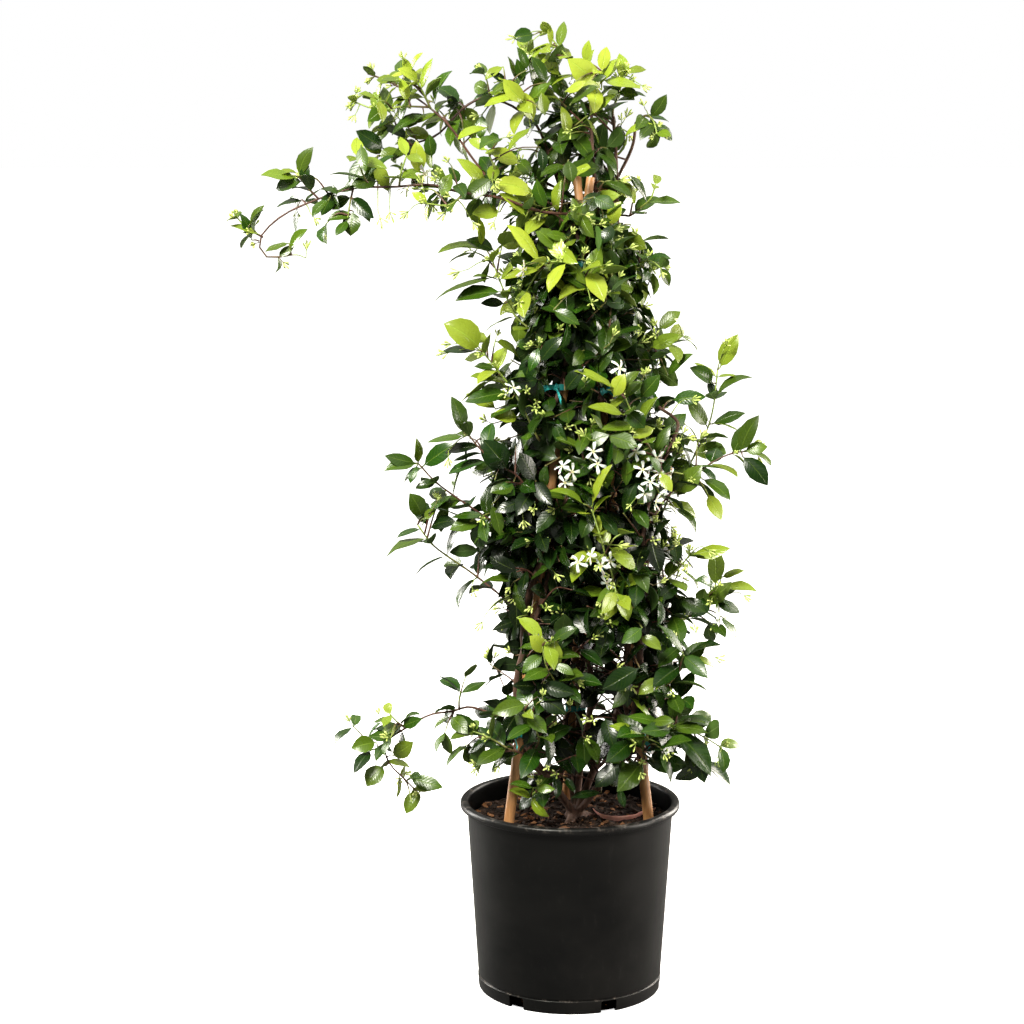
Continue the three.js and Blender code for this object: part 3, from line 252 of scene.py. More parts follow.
colour = plastic.blend(plastic.math("MULTIPLY", edges, rubs), colour, rgb(0.2, 0.17, 0.15))
gloss = plastic.math("ADD", cloud, plastic.math("MULTIPLY", scuff, 0.5))
# Painted shade: the inside of the wall is coloured near black, with little gloss, as shadow behind the mix.
level = plastic.stretched((1.0, 1.0, 0.0))
off_axis = plastic.node("ShaderNodeVectorMath", {"operation": "LENGTH"}, i0=level).outputs["Value"]
slope = (pot_wall_radius(POT_HEIGHT) - pot_wall_radius(0)) / POT_HEIGHT
depth = plastic.math("SUBTRACT", off_axis, plastic.math("MULTIPLY", height, slope))
inside = plastic.ramp(depth, pot_wall_radius(0) - 2.2 * MM, pot_wall_radius(0) - 1.2 * MM, 1.0, 0.0)
plastic.sets(Base_Color=plastic.blend(inside, colour, rgb(0.001, 0.001, 0.001)),
             Roughness=plastic.ramp(gloss, 0.4, 1.1, 0.24, 0.46),
             Specular_IOR_Level=plastic.ramp(inside, 0.0, 1.0, 0.24, 0.03))
plastic.bump(plastic.math("ADD", plastic.math("MULTIPLY", scuff, 0.3), cloud), 0.0005, 0.35)

rim_top = POT_RIM_RADIUS - 4.6 * MM
pot_outline = [(0, 0), (112 * MM, 0), (114 * MM, 1.2 * MM), (119 * MM, 1.2 * MM), (120.5 * MM, 0)]
pot_outline += arc((POT_BASE_RADIUS - 3 * MM, 3 * MM), 3 * MM, -90, 0, 4)
pot_outline += [(POT_BASE_RADIUS + 0.95 * MM, FOOT_HEIGHT - 2 * MM)]
pot_outline += arc((POT_BASE_RADIUS + 0.1 * MM, FOOT_HEIGHT - 1.4 * MM), 0.9 * MM, 0, 80, 3)
pot_outline += [(POT_BASE_RADIUS - 0.7 * MM, FOOT_HEIGHT + 0.2 * MM),
                (pot_wall_radius(FOOT_HEIGHT) - 0.4 * MM, FOOT_HEIGHT + 0.9 * MM)]
pot_outline += [(pot_wall_radius(z * MM), z * MM) for z in (21.5, 60, 110, 160, 210, 246)]
pot_outline += [(POT_WALL_TOP_RADIUS + 0.2 * MM, 252 * MM), (POT_WALL_TOP_RADIUS + 1.4 * MM, 254.2 * MM)]
pot_outline += [(POT_RIM_RADIUS - 4 * MM, 255 * MM)]
pot_outline += arc((POT_RIM_RADIUS - 2.6 * MM, 257.8 * MM), 2.6 * MM, -70, 0, 4)
pot_outline += arc((rim_top, POT_HEIGHT - 4.6 * MM), 4.6 * MM, 0, 90, 6)
pot_outline += arc((rim_top - 2 * MM, POT_HEIGHT - 5 * MM), 5 * MM, 90, 170, 5)
pot_outline += [(POT_WALL_TOP_RADIUS - POT_WALL, 252 * MM),
                (pot_wall_radius(FOOT_HEIGHT) - POT_WALL, FOOT_HEIGHT),
                (POT_BASE_RADIUS - POT_WALL, POT_WALL), (0, POT_WALL)]

bm = bmesh.new()
for i in range(DRAIN_COUNT):
    slot = bmesh.ops.create_cube(bm, size=1.0)["verts"]
    bmesh.ops.scale(bm, vec=DRAIN_SIZE, verts=slot)
    bmesh.ops.bevel(bm, geom=list({e for v in slot for e in v.link_edges}), offset=DRAIN_CORNER,
                    offset_type="OFFSET", affect="EDGES", segments=3, profile=0.5, material=-1)
    slot = [v for v in bm.verts if v.co.length < DRAIN_SIZE.length]
    bmesh.ops.translate(bm, vec=(POT_BASE_RADIUS, 0, DRAIN_CENTRE_HEIGHT), verts=slot)
    turn = Matrix.Rotation(DRAIN_FIRST_ANGLE + 2 * math.pi * i / DRAIN_COUNT, 4, "Z")
    bmesh.ops.transform(bm, matrix=turn, verts=slot)
cutter = set_down("Drain slots", mesh_from(bm, "Drain slots"))

bm = bmesh.new()
turned(bm, pot_outline, POT_STEPS)
pot = piece_from(bm, "nursery_pot", plastic.material)
cut = pot.modifiers.new("Drain slots", "BOOLEAN")
cut.operation = "DIFFERENCE"
cut.solver = "EXACT"
cut.object = cutter
pot_shape = shape_of(pot)
pot.modifiers.clear()
pot.data = pot_shape
bpy.data.objects.remove(cutter)
pot.data.set_sharp_from_angle(angle=math.radians(38))
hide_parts("pot")


# ---- Soil --------------------------------------------------------------------------------------
# The pot is full of a bark mix to a thumb's width under the rim. Its top is uneven and damp, and
# chips of composted pine bark lie on it, from nearly black to orange-brown.
SOIL_TOP = 239 * MM
SOIL_BUMP = 2.4 * MM
SOIL_GAP = 0.35 * MM
SOIL_STEPS = 96
CHIP_COUNT = 900
CHIP_SEED = 41
STRAP_ROUTE = [(34, 18), (44, -8), (64, -20), (86, -12), (96, 2), (118, 22)]
STRAP_CLEAR = 13 * MM
BURIED_CHIP = 0.3


def soil_height(x, y):
    """The height of the soil's surface over a point of the plan."""
    x, y = x / MM, y / MM
    coarse = math.sin(x / 17 + 0.6) * math.cos(y / 21 - 0.4)
    return SOIL_TOP + SOIL_BUMP * (coarse + 0.5 * math.sin((x + y) / 9.5 + 1.1))


bark_mix = Finish("Bark mix", Roughness=0.92)
crumb = bark_mix.speckle(120.0, 6.0, 0.7)
clod = bark_mix.node("ShaderNodeTexVoronoi", Vector=bark_mix.place(), Scale=210.0).outputs["Distance"]
colour = bark_mix.shades(crumb, 0.35, 0.68, rgb(0.003, 0.002, 0.0015), rgb(0.024, 0.012, 0.007))
# Painted shade: low down behind the drain slots the mix is near black and dull, with a few roots in it.
sunk = bark_mix.ramp(bark_mix.height(), 0.02, 0.05, 1.0, 0.0)
shade_and_roots = bark_mix.shades(bark_mix.speckle(160.0, 4.0, 0.7), 0.62, 0.72,
                        rgb(0.0006, 0.0005, 0.0004), rgb(0.11, 0.045, 0.015), 0.8)
bark_mix.sets(Base_Color=bark_mix.blend(sunk, colour, shade_and_roots),
              Specular_IOR_Level=bark_mix.ramp(sunk, 0.0, 0.85, 0.12, 0.0))
bark_mix.bump(bark_mix.math("ADD", crumb, clod), 0.004, 0.9)

soil_floor = POT_WALL + SOIL_GAP
soil_outline = [(0, soil_floor), (POT_BASE_RADIUS - POT_WALL - SOIL_GAP, soil_floor),
                (pot_wall_radius(FOOT_HEIGHT) - POT_WALL - SOIL_GAP, FOOT_HEIGHT),
                (pot_wall_radius(SOIL_TOP) - POT_WALL - SOIL_GAP, SOIL_TOP - 4 * MM)]
soil_outline += [(r * MM, SOIL_TOP) for r in range(132, 0, -6)] + [(0, SOIL_TOP)]
bm = bmesh.new()
turned(bm, soil_outline, SOIL_STEPS)
for v in bm.verts:
    if v.co.z > SOIL_TOP - 2 * MM:
        v.co.z = soil_height(v.co.x, v.co.y) + 3.2 * MM * noise.noise(v.co * 130)
soil = piece_from(bm, "bark_mix", bark_mix.material)
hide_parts("soil")

chip_bark = Finish("Bark chips", Roughness=0.85, Specular_IOR_Level=0.2)
fibre = chip_bark.speckle(260.0, 4.0, 0.6)
dark_chip = chip_bark.shades(fibre, 0.3, 0.7, rgb(0.006, 0.0035, 0.0025), rgb(0.034, 0.016, 0.009))
tan_chip = chip_bark.shades(fibre, 0.3, 0.7, rgb(0.13, 0.05, 0.02), rgb(0.32, 0.15, 0.065))
chip_bark.sets(Base_Color=chip_bark.shades(chip_bark.attribute("tint"), 0.72, 0.98, dark_chip, tan_chip))
chip_bark.bump(fibre, 0.0015, 0.8)


def add_copies(bm, template, count):
    """Adds copies of a template to a mesh, and gives the template's points as an array."""
    for _ in range(count):
        bm.from_mesh(template)
    points = np.empty(len(template.vertices) * 3)
    template.vertices.foreach_get("co", points)
    return points.reshape(-1, 3)


def place_points(piece, points):
    """Puts all vertices of a piece where an array says."""
    piece.data.vertices.foreach_set("co", np.asarray(points, np.float32).ravel())
    piece.data.update()


def set_attribute(piece, name, values):
    """Stores one number per vertex for the material to read."""
    layer = piece.data.attributes.new(name, "FLOAT", "POINT")
    layer.data.foreach_set("value", np.asarray(values, np.float32).ravel())


bm = bmesh.new()
bmesh.ops.create_cube(bm, size=1.0)
bmesh.ops.bevel(bm, geom=bm.edges[:], offset=0.16, offset_type="OFFSET", affect="EDGES",
                segments=1, profile=0.5, material=-1)
chip_template = mesh_from(bm, "Bark chip")

strap_bed = [Vector(a).lerp(Vector(b), k / 3) * MM for a, b in zip(STRAP_ROUTE, STRAP_ROUTE[1:])
             for k in range(4)]
rng = np.random.default_rng(CHIP_SEED)
bm = bmesh.new()
unit = add_copies(bm, chip_template, CHIP_COUNT)
chips = piece_from(bm, "bark_chips", chip_bark.material, smooth=False)
chip_points = []
chip_tints = []
for _ in range(CHIP_COUNT):
    radius = (pot_wall_radius(SOIL_TOP) - 8 * MM) * math.sqrt(rng.uniform(0.0, 1.0))
    angle = rng.uniform(0, 2 * math.pi)
    x, y = radius * math.cos(angle), radius * math.sin(angle)
    size = np.array([rng.uniform(4, 13), rng.uniform(2.5, 7), rng.uniform(1.6, 4.0)]) * MM
    if min((spot - Vector((x, y + 3 * MM))).length for spot in strap_bed) < STRAP_CLEAR:
        size *= BURIED_CHIP
    turn = Quaternion((0, 0, 1), rng.uniform(0, math.tau)) @ Quaternion((1, 0, 0), rng.normal(0, 0.4))
    turn = turn @ Quaternion((0, 1, 0), rng.normal(0, 0.3))
    body = (unit + rng.normal(0, 0.06, unit.shape)) * size
    body = body @ np.array(turn.to_matrix()).T
    lift = soil_height(x, y) + size[2] * rng.uniform(-0.2, 0.7)
    chip_points.append(body + (x, y, lift))
    chip_tints.append(np.full(len(unit), rng.uniform()))
place_points(chips, np.concatenate(chip_points))
set_attribute(chips, "tint", np.concatenate(chip_tints))


# ---- Canes -------------------------------------------------------------------------------------
# Three split-free bamboo canes push into the mix and lean together at the top. Each has swollen
# nodes with a darker band round them, a waxy orange-tan skin and a cut, hollow end.
CANE_BASE_RADIUS = 7.2 * MM
CANE_TOP_RADIUS = 5.6 * MM
CANE_IN_SOIL = 60 * MM
CANE_NODE_SPACING = 260 * MM
CANE_NODE = [(-60, 0), (-12, 0), (-5, 0.25), (-1.6, 0.8), (0, 0.1), (1.4, 0.75), (5, 0.3), (12, 0), (70, 0)]
CANE_STEPS = 20
CANES = {
    "left": (Vector((-85, -66, 239)) * MM, Vector((24, -14, 1112)) * MM),
    "right": (Vector((107, -42, 239)) * MM, Vector((5, 4, 1120)) * MM),
    "back": (Vector((-2, 88, 239)) * MM, Vector((42, 20, 1096)) * MM),
}


def cane_share(cane, z):
    """How far up a cane a height is: 0 at the soil, 1 at its end."""
    foot, head = CANES[cane]
    return (z - foot.z) / (head.z - foot.z)


def cane_point(cane, z):
    foot, head = CANES[cane]
    return foot.lerp(head, cane_share(cane, z))


def cane_radius(cane, z):
    return CANE_BASE_RADIUS + (CANE_TOP_RADIUS - CANE_BASE_RADIUS) * cane_share(cane, z)


bamboo = Finish("Bamboo")
grain = bamboo.speckle(70.0, 5.0, 0.6, source=bamboo.stretched((9.0, 9.0, 0.35)))
stain = bamboo.speckle(14.0, 4.0, 0.6)
colour = bamboo.shades(grain, 0.3, 0.7, rgb(0.34, 0.15, 0.055), rgb(0.52, 0.27, 0.11))
colour = bamboo.shades(stain, 0.45, 0.75, colour, rgb(0.2, 0.08, 0.032), 0.7)
colour = bamboo.shades(bamboo.attribute("ring"), 0.1, 0.9, colour, rgb(0.17, 0.075, 0.035), 0.8)
bamboo.sets(Base_Color=colour, Roughness=bamboo.ramp(grain, 0.3, 0.7, 0.34, 0.55))
bamboo.bump(grain, 0.0008, 0.5)

for cane, (foot, head) in CANES.items():
    bottom = cane_point(cane, foot.z - CANE_IN_SOIL)
    length = (head - bottom).length
    slope = length / (head.z - bottom.z)
    rings = []
    outline = [(0, 0), (cane_radius(cane, bottom.z), 0)]
    z = bottom.z + CANE_NODE_SPACING
    while z < head.z - 30 * MM:
        along = (z - bottom.z) * slope
        radius = cane_radius(cane, z)
        rings.append(along)
        for offset, swell in CANE_NODE:
            outline.append((radius + swell * MM, along + offset * MM))
        z += CANE_NODE_SPACING
    tip = CANE_TOP_RADIUS
    outline += [(tip, length - 0.6 * MM), (tip - 0.5 * MM, length), (tip * 0.58, length),
                (tip * 0.5, length - 0.5 * MM), (tip * 0.42, length - 9 * MM), (0, length - 10 * MM)]
    bm = bmesh.new()
    turned(bm, outline, CANE_STEPS)
    near_ring = [max([math.exp(-((v.co.z - r) / (4.5 * MM)) ** 2) for r in rings]) for v in bm.verts]
    turn = UP.rotation_difference(head - bottom).to_matrix().to_4x4()
    bmesh.ops.transform(bm, matrix=Matrix.Translation(bottom) @ turn, verts=bm.verts)
    piece = piece_from(bm, f"bamboo_cane_{cane}", bamboo.material)
    piece.data.set_sharp_from_angle(angle=math.radians(50))
    set_attribute(piece, "ring", near_ring)
    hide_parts(f"cane_{cane}")


# ---- Woody stems -------------------------------------------------------------------------------
# The old vine: eight brown stems rise from a knuckled crown at soil level. Six twine up the canes
# and two climb free. Their bark is thin and finely cracked.
CROWN = Vector((8, -6, 242)) * MM
CROWN_RADIUS = 13 * MM
TWINE_START = 352 * MM
TWINE_STEP = 50 * MM
TWINE_TURN = math.radians(54)
TWINE_GAP = 2.4 * MM
TWINERS = [
    {"cane": "left", "phase": -12, "to": 955, "base": 5.0, "tip": 2.6,
     "then": [(10, -46, 1020), (-8, -55, 1066)]},
    {"cane": "left", "phase": 78, "to": 855, "base": 4.6, "tip": 2.6,
     "then": [(-4, -43, 930), (-10, -37, 1010), (-18, -34, 1072)]},
    {"cane": "right", "phase": 205, "to": 955, "base": 5.2, "tip": 2.4,
     "then": [(-4, 14, 1030), (-14, 16, 1090), (-34, 16, 1150)]},
    {"cane": "right", "phase": 115, "to": 955, "base": 4.6, "tip": 2.2,
     "then": [(33, 2, 1030), (30, 2, 1100), (26, -2, 1160), (25, -2, 1195)]},
    {"cane": "back", "phase": 318, "to": 755, "base": 4.8, "tip": 2.2,
     "then": [(53, 46, 850), (60, 38, 950), (61, 26, 1050), (58, 16, 1140), (54, 12, 1190)]},
    {"cane": "back", "phase": 228, "to": 905, "base": 4.4, "tip": 2.0,
     "then": [(28, 56, 980), (38, 50, 1060), (62, 40, 1110), (80, 28, 1150), (84, 14, 1182)]},
]
FREE_STEMS = [
    {"base": 5.5, "tip": 2.0,
     "route": [(30, 0, 300), (64, 12, 380), (90, 4, 480), (99, -30, 560), (94, -58, 630), (102, -62, 690),
               (120, -60, 745), (139, -52, 785), (134, -46, 806), (114, -44, 812)]},
    {"base": 5.0, "tip": 2.2,
     "route": [(14, 12, 300), (28, -20, 430), (8, -20, 560), (22, 4, 680), (56, 12, 790), (80, 6, 862)]},
]
FREE_STEPS = 16
ROUTE_DIVISIONS = 200
FLARES = [Vector((-10, -46, 227)) * MM, Vector((44, 16, 227)) * MM]
WOOD_FINENESS = 6


def smooth_route(controls, count):
    """Evenly spaced points of a smooth curve through the given ones, with slack ends."""
    points = np.array([tuple(p) for p in controls], float)
    ends = np.vstack([2 * points[0] - points[1], points, 2 * points[-1] - points[-2]])
    spans = len(points) - 1

    def at(share):
        place = share * spans
        low = min(int(place), spans - 1)
        t = place - low
        before, start, end, after = ends[low:low + 4]
        leave, arrive = 0.5 * (end - before), 0.5 * (after - start)
        bend = -3 * start + 3 * end - 2 * leave - arrive
        return start + leave * t + bend * t ** 2 + (2 * start - 2 * end + leave + arrive) * t ** 3

    shares = np.linspace(0, 1, ROUTE_DIVISIONS + 1)
    chain = np.array([at(s) for s in shares])
    lengths = np.concatenate([[0], np.cumsum(np.linalg.norm(np.diff(chain, axis=0), axis=1))])
    even = np.interp(np.linspace(0, lengths[-1], count + 1), lengths, shares)
    return [Vector(at(s)) for s in even]


def in_metres(points):
    return [Vector(p) * MM for p in points]


def swung(turn, first=Vector((1, 0, 0)), second=Vector((0, 1, 0))):
    """The way that lies an angle round from a first one towards a second."""
    return first * math.cos(turn) + second * math.sin(turn)


def twiner_route(twiner):
    """The points that a twining stem passes round its cane and then above it."""
    cane = twiner["cane"]
    turn = math.radians(twiner["phase"])
    route = [CROWN, CROWN.lerp(cane_point(cane, TWINE_START), 0.45) + swung(turn) * 7 * MM]
    z = TWINE_START
    while z <= twiner["to"] * MM + 1e-9:
        reach = cane_radius(cane, z) + twiner["base"] * MM + TWINE_GAP
        route.append(cane_point(cane, z) + swung(turn) * reach)
        turn += TWINE_TURN
        z += TWINE_STEP
    return route + in_metres(twiner["then"])


def tapered(start, end, count):
    return [start + (end - start) * i / (count - 1) for i in range(count)]


def tubes(name, routes, sides):
    """Round tapered tubes along several routes, each a list of points and one of radii."""
    curve = bpy.data.curves.new(name, "CURVE")
    curve.dimensions = "3D"
    curve.bevel_depth = 1.0
    curve.bevel_resolution = max(sides // 2 - 2, 0)
    curve.use_fill_caps = True
    for points, radii in routes:
        spline = curve.splines.new("POLY")
        spline.points.add(len(points) - 1)
        for knot, point, radius in zip(spline.points, points, radii):
            knot.co = (*point, 1)
            knot.radius = radius
    holder = set_down(name, curve)
    mesh = shape_of(holder)
    bpy.data.objects.remove(holder)
    bpy.data.curves.remove(curve)
    bm = bmesh.new()
    bm.from_mesh(mesh)
    bpy.data.meshes.remove(mesh)
    bmesh.ops.remove_doubles(bm, verts=bm.verts, dist=1e-6)
    bmesh.ops.recalc_face_normals(bm, faces=bm.faces)
    return bm


wood_bark = Finish("Vine bark", Roughness=0.82)
crack = wood_bark.speckle(55.0, 6.0, 0.7, source=wood_bark.stretched((6.0, 6.0, 1.3)))
patch = wood_bark.speckle(22.0, 3.0)
colour = wood_bark.shades(crack, 0.32, 0.66, rgb(0.028, 0.013, 0.009), rgb(0.13, 0.062, 0.038))
wood_bark.sets(Base_Color=wood_bark.shades(patch, 0.5, 0.75, colour, rgb(0.2, 0.12, 0.085), 0.55))
wood_bark.bump(crack, 0.0022, 0.9)

WOOD = [{"points": twiner_route(stem), **stem} for stem in TWINERS]
for stem in FREE_STEMS:
    WOOD.append({"points": smooth_route([CROWN] + in_metres(stem["route"]), FREE_STEPS), **stem})

wood_routes = []
for index, stem in enumerate(WOOD):
    count = WOOD_FINENESS * (len(stem["points"]) - 1)
    points = smooth_route(stem["points"], count)
    radii = [r * (1 + 0.14 * noise.noise(p * 60 + Vector((index, 0, 0))))
             for p, r in zip(points, tapered(stem["base"] * MM, stem["tip"] * MM, count + 1))]
    wood_routes.append((points, radii))
for end in FLARES:
    points = smooth_route([CROWN, CROWN.lerp(end, 0.5) + Vector((0, 0, 3 * MM)), end], 8)
    wood_routes.append((points, tapered(9 * MM, 4.5 * MM, 9)))
bm = tubes("Woody stems", wood_routes, 10)
bmesh.ops.create_icosphere(bm, subdivisions=4, radius=CROWN_RADIUS,
                           matrix=Matrix.Translation(CROWN) @ Matrix.Diagonal((1.15, 1.0, 0.85, 1)))
for v in bm.verts:
    if (v.co - CROWN).length < 1.3 * CROWN_RADIUS:
        v.co += (v.co - CROWN) * 0.22 * noise.noise(v.co * 140)
wood = piece_from(bm, "vine_stems", wood_bark.material)
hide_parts("woody_stems")


# ---- Plant ties --------------------------------------------------------------------------------
# Bands of soft teal tape hold the vine to its canes: a wide one at the top, two at mid height and
# three low down. Each is drawn tight and knotted, and its two ends stand off crumpled.
TIE_KNOTS = {"tie_top": -150, "tie_middle_left": -120, "tie_middle_right": -70, "tie_low_left": -130,
             "tie_low_right": -80, "tie_low_back": 60}
KNOT_RADIUS = 4.6 * MM
TAIL_LENGTH = 26 * MM
TAIL_WIDTH = 9 * MM
TAPE_THICKNESS = 0.9 * MM

tape = Finish("Teal tape", Specular_IOR_Level=0.5)
crumple = tape.speckle(90.0, 4.0, 0.6)
tape.sets(Base_Color=tape.shades(crumple, 0.3, 0.7, rgb(0.006, 0.2, 0.21), rgb(0.03, 0.4, 0.38)),
          Roughness=tape.ramp(crumple, 0.3, 0.7, 0.25, 0.5))
tape.bump(crumple, 0.002, 0.7)

for name, bearing in TIE_KNOTS.items():
    bm = bmesh.new()
    bm.from_mesh(frame["nodes"][name].data)
    bmesh.ops.remove_doubles(bm, verts=bm.verts, dist=1e-6)
    bmesh.ops.dissolve_limit(bm, angle_limit=0.01, verts=bm.verts, edges=bm.edges)
    bmesh.ops.bevel(bm, geom=[e for e in bm.edges if e.calc_face_angle(0) > 1.0], offset=0.4 * MM,
                    offset_type="OFFSET", affect="EDGES", segments=2, profile=0.5, material=-1)
    bmesh.ops.triangulate(bm, faces=bm.faces)
    low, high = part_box(name)
    middle = (Vector(low) + Vector(high)) / 2
    way = swung(math.radians(bearing))
    edge = max(bm.verts, key=lambda v: v.co.x * way.x + v.co.y * way.y)
    knot = middle + way * ((edge.co - middle).dot(way) + 1.5 * MM)
    lump = bmesh.ops.create_icosphere(bm, subdivisions=3, radius=KNOT_RADIUS,
                                      matrix=Matrix.Translation(knot))
    for v in lump["verts"]:
        v.co += (v.co - knot) * 0.7 * noise.noise(v.co * 260)
    across = way.cross(UP)
    for side in (-1, 1):
        tail = bmesh.ops.create_grid(bm, x_segments=12, y_segments=4, size=0.5)["verts"]
        for v in tail:
            t, s = v.co.x + 0.5, v.co.y
            v.co = knot + across * side * TAIL_LENGTH * 0.55 * t
            v.co = v.co + way * TAIL_LENGTH * (0.75 * t - 0.3 * t * t)
            droop = TAIL_LENGTH * (0.25 * side * t - 0.35 * t * t)
            v.co += UP * (TAIL_WIDTH * s * (0.5 + 0.5 * t) + droop)
            crease = noise.noise(v.co * 170) * 4.5 + noise.noise(v.co * 420) * 1.6
            v.co += (way + across * 0.5 * side) * crease * t * MM
        faces = list({f for v in tail for f in v.link_faces})
        bmesh.ops.solidify(bm, geom=faces, thickness=TAPE_THICKNESS)
    bmesh.ops.recalc_face_normals(bm, faces=bm.faces)
    piece = piece_from(bm, f"tape_{name}", tape.material)
    piece.data.set_sharp_from_angle(angle=math.radians(60))
    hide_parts(name)


# ---- Label strap -------------------------------------------------------------------------------
# A plain salmon-pink plastic strap, bent in an arc and half sunk on edge in the bark.
STRAP_WIDTH = 9 * MM
STRAP_THICKNESS = 1.0 * MM
STRAP_RISE = 3.2 * MM
STRAP_LEAN = math.radians(33)
STRAP_STEPS = 40

salmon = Finish("Salmon plastic")
wear = salmon.speckle(80.0, 4.0)
salmon.sets(Base_Color=salmon.shades(wear, 0.35, 0.75, rgb(1.0, 0.52, 0.44), rgb(0.88, 0.38, 0.31)),
            Roughness=salmon.ramp(wear, 0.3, 0.7, 0.35, 0.55))
salmon.bump(wear, 0.0006, 0.3)

lift = UP * (SOIL_TOP + STRAP_RISE)
path = smooth_route([Vector((x, y, 0)) * MM + lift for x, y in STRAP_ROUTE], STRAP_STEPS)
bm = bmesh.new()
bmesh.ops.create_grid(bm, x_segments=STRAP_STEPS, y_segments=4, size=0.5)
for v in bm.verts:
    step = round((v.co.x + 0.5) * STRAP_STEPS)
    tangent = (path[min(step + 1, STRAP_STEPS)] - path[max(step - 1, 0)]).normalized()
    flat = tangent.cross(UP).normalized()
    lean = flat * math.sin(STRAP_LEAN) + UP * math.cos(STRAP_LEAN)
    half = tangent.cross(lean).normalized() * STRAP_THICKNESS / 2
    v.co = path[step] + lean * STRAP_WIDTH * v.co.y - half
bmesh.ops.solidify(bm, geom=bm.faces[:], thickness=STRAP_THICKNESS)
bmesh.ops.recalc_face_normals(bm, faces=bm.faces)
strap = piece_from(bm, "plastic_strap", salmon.material)
strap.data.set_sharp_from_angle(angle=math.radians(40))
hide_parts("label_strap")


# ---- Leafy shoots ------------------------------------------------------------------------------
# Green twigs with opposite leaves and clusters of pointed buds. Each grows from the old wood or from
# a longer shoot. Leaves are leathery, glossy and dark above, paler below, and yellow-green when new.
SHOOTS = []


def grows(name, pairs, leaf, *route, **habit):
    """Adds a shoot by its leaf pairs, its leaves' length and the points it passes, in millimetres.

    Its habit may say which shoot it grows on, whether its wood is brown, how much of it is bare, the
    pairs it has shed, its radius, whether it has buds, the pairs and headings of its open flowers,
    its age, from 0 for old and dark to 1 for new, and the spacing of its side shoots.
    """
    SHOOTS.append({"name": name, "pairs": pairs, "leaf": leaf, "route": route, **habit})


grows("arm_left", 12, 42, (-45, -62, 1070), (-95, -75, 1088), (-145, -80, 1095), (-185, -80, 1105),
      (-230, -75, 1102), (-285, -70, 1100), (-330, -65, 1086), (-378, -60, 1064), (-408, -55, 1034),
      (-400, -50, 1010), (-368, -45, 1012), brown=True, bare=0.1, skip=[1, 2, 4, 5, 7, 8, 9, 10],
      radius=2.1, buds=True, age=0.3, spacing=62)
grows("arm_left_rise", 2, 46, (-330, -65, 1086), (-345, -65, 1102), (-357, -60, 1120), on="arm_left")
grows("arm_left_reach", 2, 38, (-409, -55, 1040), (-424, -60, 1048), (-437, -60, 1062), on="arm_left",
      buds=True)
grows("arm_left_top", 2, 52, (-262, -72, 1101), (-272, -84, 1120), (-278, -88, 1142), on="arm_left",
      age=0.48)
grows("arm_left_hang", 2, 44, (-285, -70, 1100), (-288, -84, 1082), (-292, -88, 1058), on="arm_left")
grows("arm_left_front", 2, 48, (-225, -76, 1102), (-222, -92, 1120), (-214, -98, 1144), on="arm_left",
      age=0.62)
grows("arm_left_buds", 2, 40, (-140, -80, 1095), (-160, -98, 1080), (-190, -104, 1082), on="arm_left",
      buds=True, age=0.65)
grows("arm_high", 9, 44, (-38, -34, 1082), (-68, -32, 1090), (-100, -35, 1100), (-130, -35, 1136),
      (-160, -35, 1178), (-185, -30, 1201), (-215, -25, 1222), (-245, -20, 1238), (-268, -20, 1246),
      brown=True, bare=0.18, skip=[2, 3, 4, 6], radius=2.1, buds=True, age=0.45, spacing=62)
grows("arm_high_tip", 3, 44, (-185, -30, 1201), (-196, -38, 1224), (-212, -40, 1250), on="arm_high",
      age=0.7)
grows("arm_high_side", 3, 36, (-188, -30, 1203), (-220, -44, 1204), (-252, -50, 1200), (-284, -48, 1210),
      on="arm_high", buds=True, age=0.62)
grows("arm_high_front", 2, 50, (-104, -35, 1104), (-102, -58, 1124), (-112, -72, 1150), on="arm_high")
grows("arm_loop", 9, 48, (-48, 16, 1180), (-76, 12, 1202), (-100, 5, 1212), (-118, 0, 1215),
      (-145, -2, 1200), (-176, -6, 1168), (-206, -10, 1156), (-236, -16, 1146), (-266, -22, 1134),
      (-288, -28, 1122), brown=True, bare=0.1, skip=[1, 3, 4], radius=1.9, age=0.5, spacing=48)
grows("arm_loop_side", 2, 52, (-212, -11, 1154), (-224, 10, 1166), (-240, 22, 1182), on="arm_loop")
grows("top_tip", 5, 46, (20, -4, 1222), (4, -6, 1254), (-20, -4, 1282), (-34, -2, 1300), bare=0.25,
      age=0.75)
grows("top_bright", 3, 52, (20, -6, 1222), (38, -24, 1238), (36, -32, 1250), on="top_tip", bare=0.4,
      age=0.92)
grows("top_middle", 4, 46, (-14, 38, 1130), (-14, 34, 1190), (-18, 24, 1238), (-24, 22, 1258))
grows("top_left", 4, 48, (-62, 14, 1192), (-62, -10, 1204), (-72, -26, 1216), (-88, -26, 1236),
      on="arm_loop", age=0.7)
grows("top_right", 4, 44, (54, 12, 1200), (60, 10, 1218), (66, 4, 1236), (70, -4, 1250), buds=True,
      age=0.62, spacing=150)
grows("top_hook", 4, 42, (88, 8, 1186), (98, -2, 1192), (106, -14, 1184), (110, -24, 1168), buds=True,
      spacing=150)
grows("upper_left", 5, 50, (-40, -42, 905), (-74, -36, 930), (-88, -38, 960), (-98, -42, 985),
      (-106, -46, 1008), buds=True, age=0.55)
grows("upper_front", 4, 56, (18, -60, 965), (12, -78, 990), (-10, -84, 1005), (-38, -86, 1006), bare=0.3,
      age=0.8)
grows("middle_left", 5, 60, (-44, -44, 768), (-70, -44, 820), (-86, -46, 845), (-104, -50, 868),
      (-118, -54, 886), bare=0.3, buds=True, age=0.62)
grows("dark_left", 5, 54, (-52, -72, 700), (-74, -78, 726), (-98, -82, 740), (-122, -82, 762),
      (-138, -80, 782), brown=True, age=0.08)
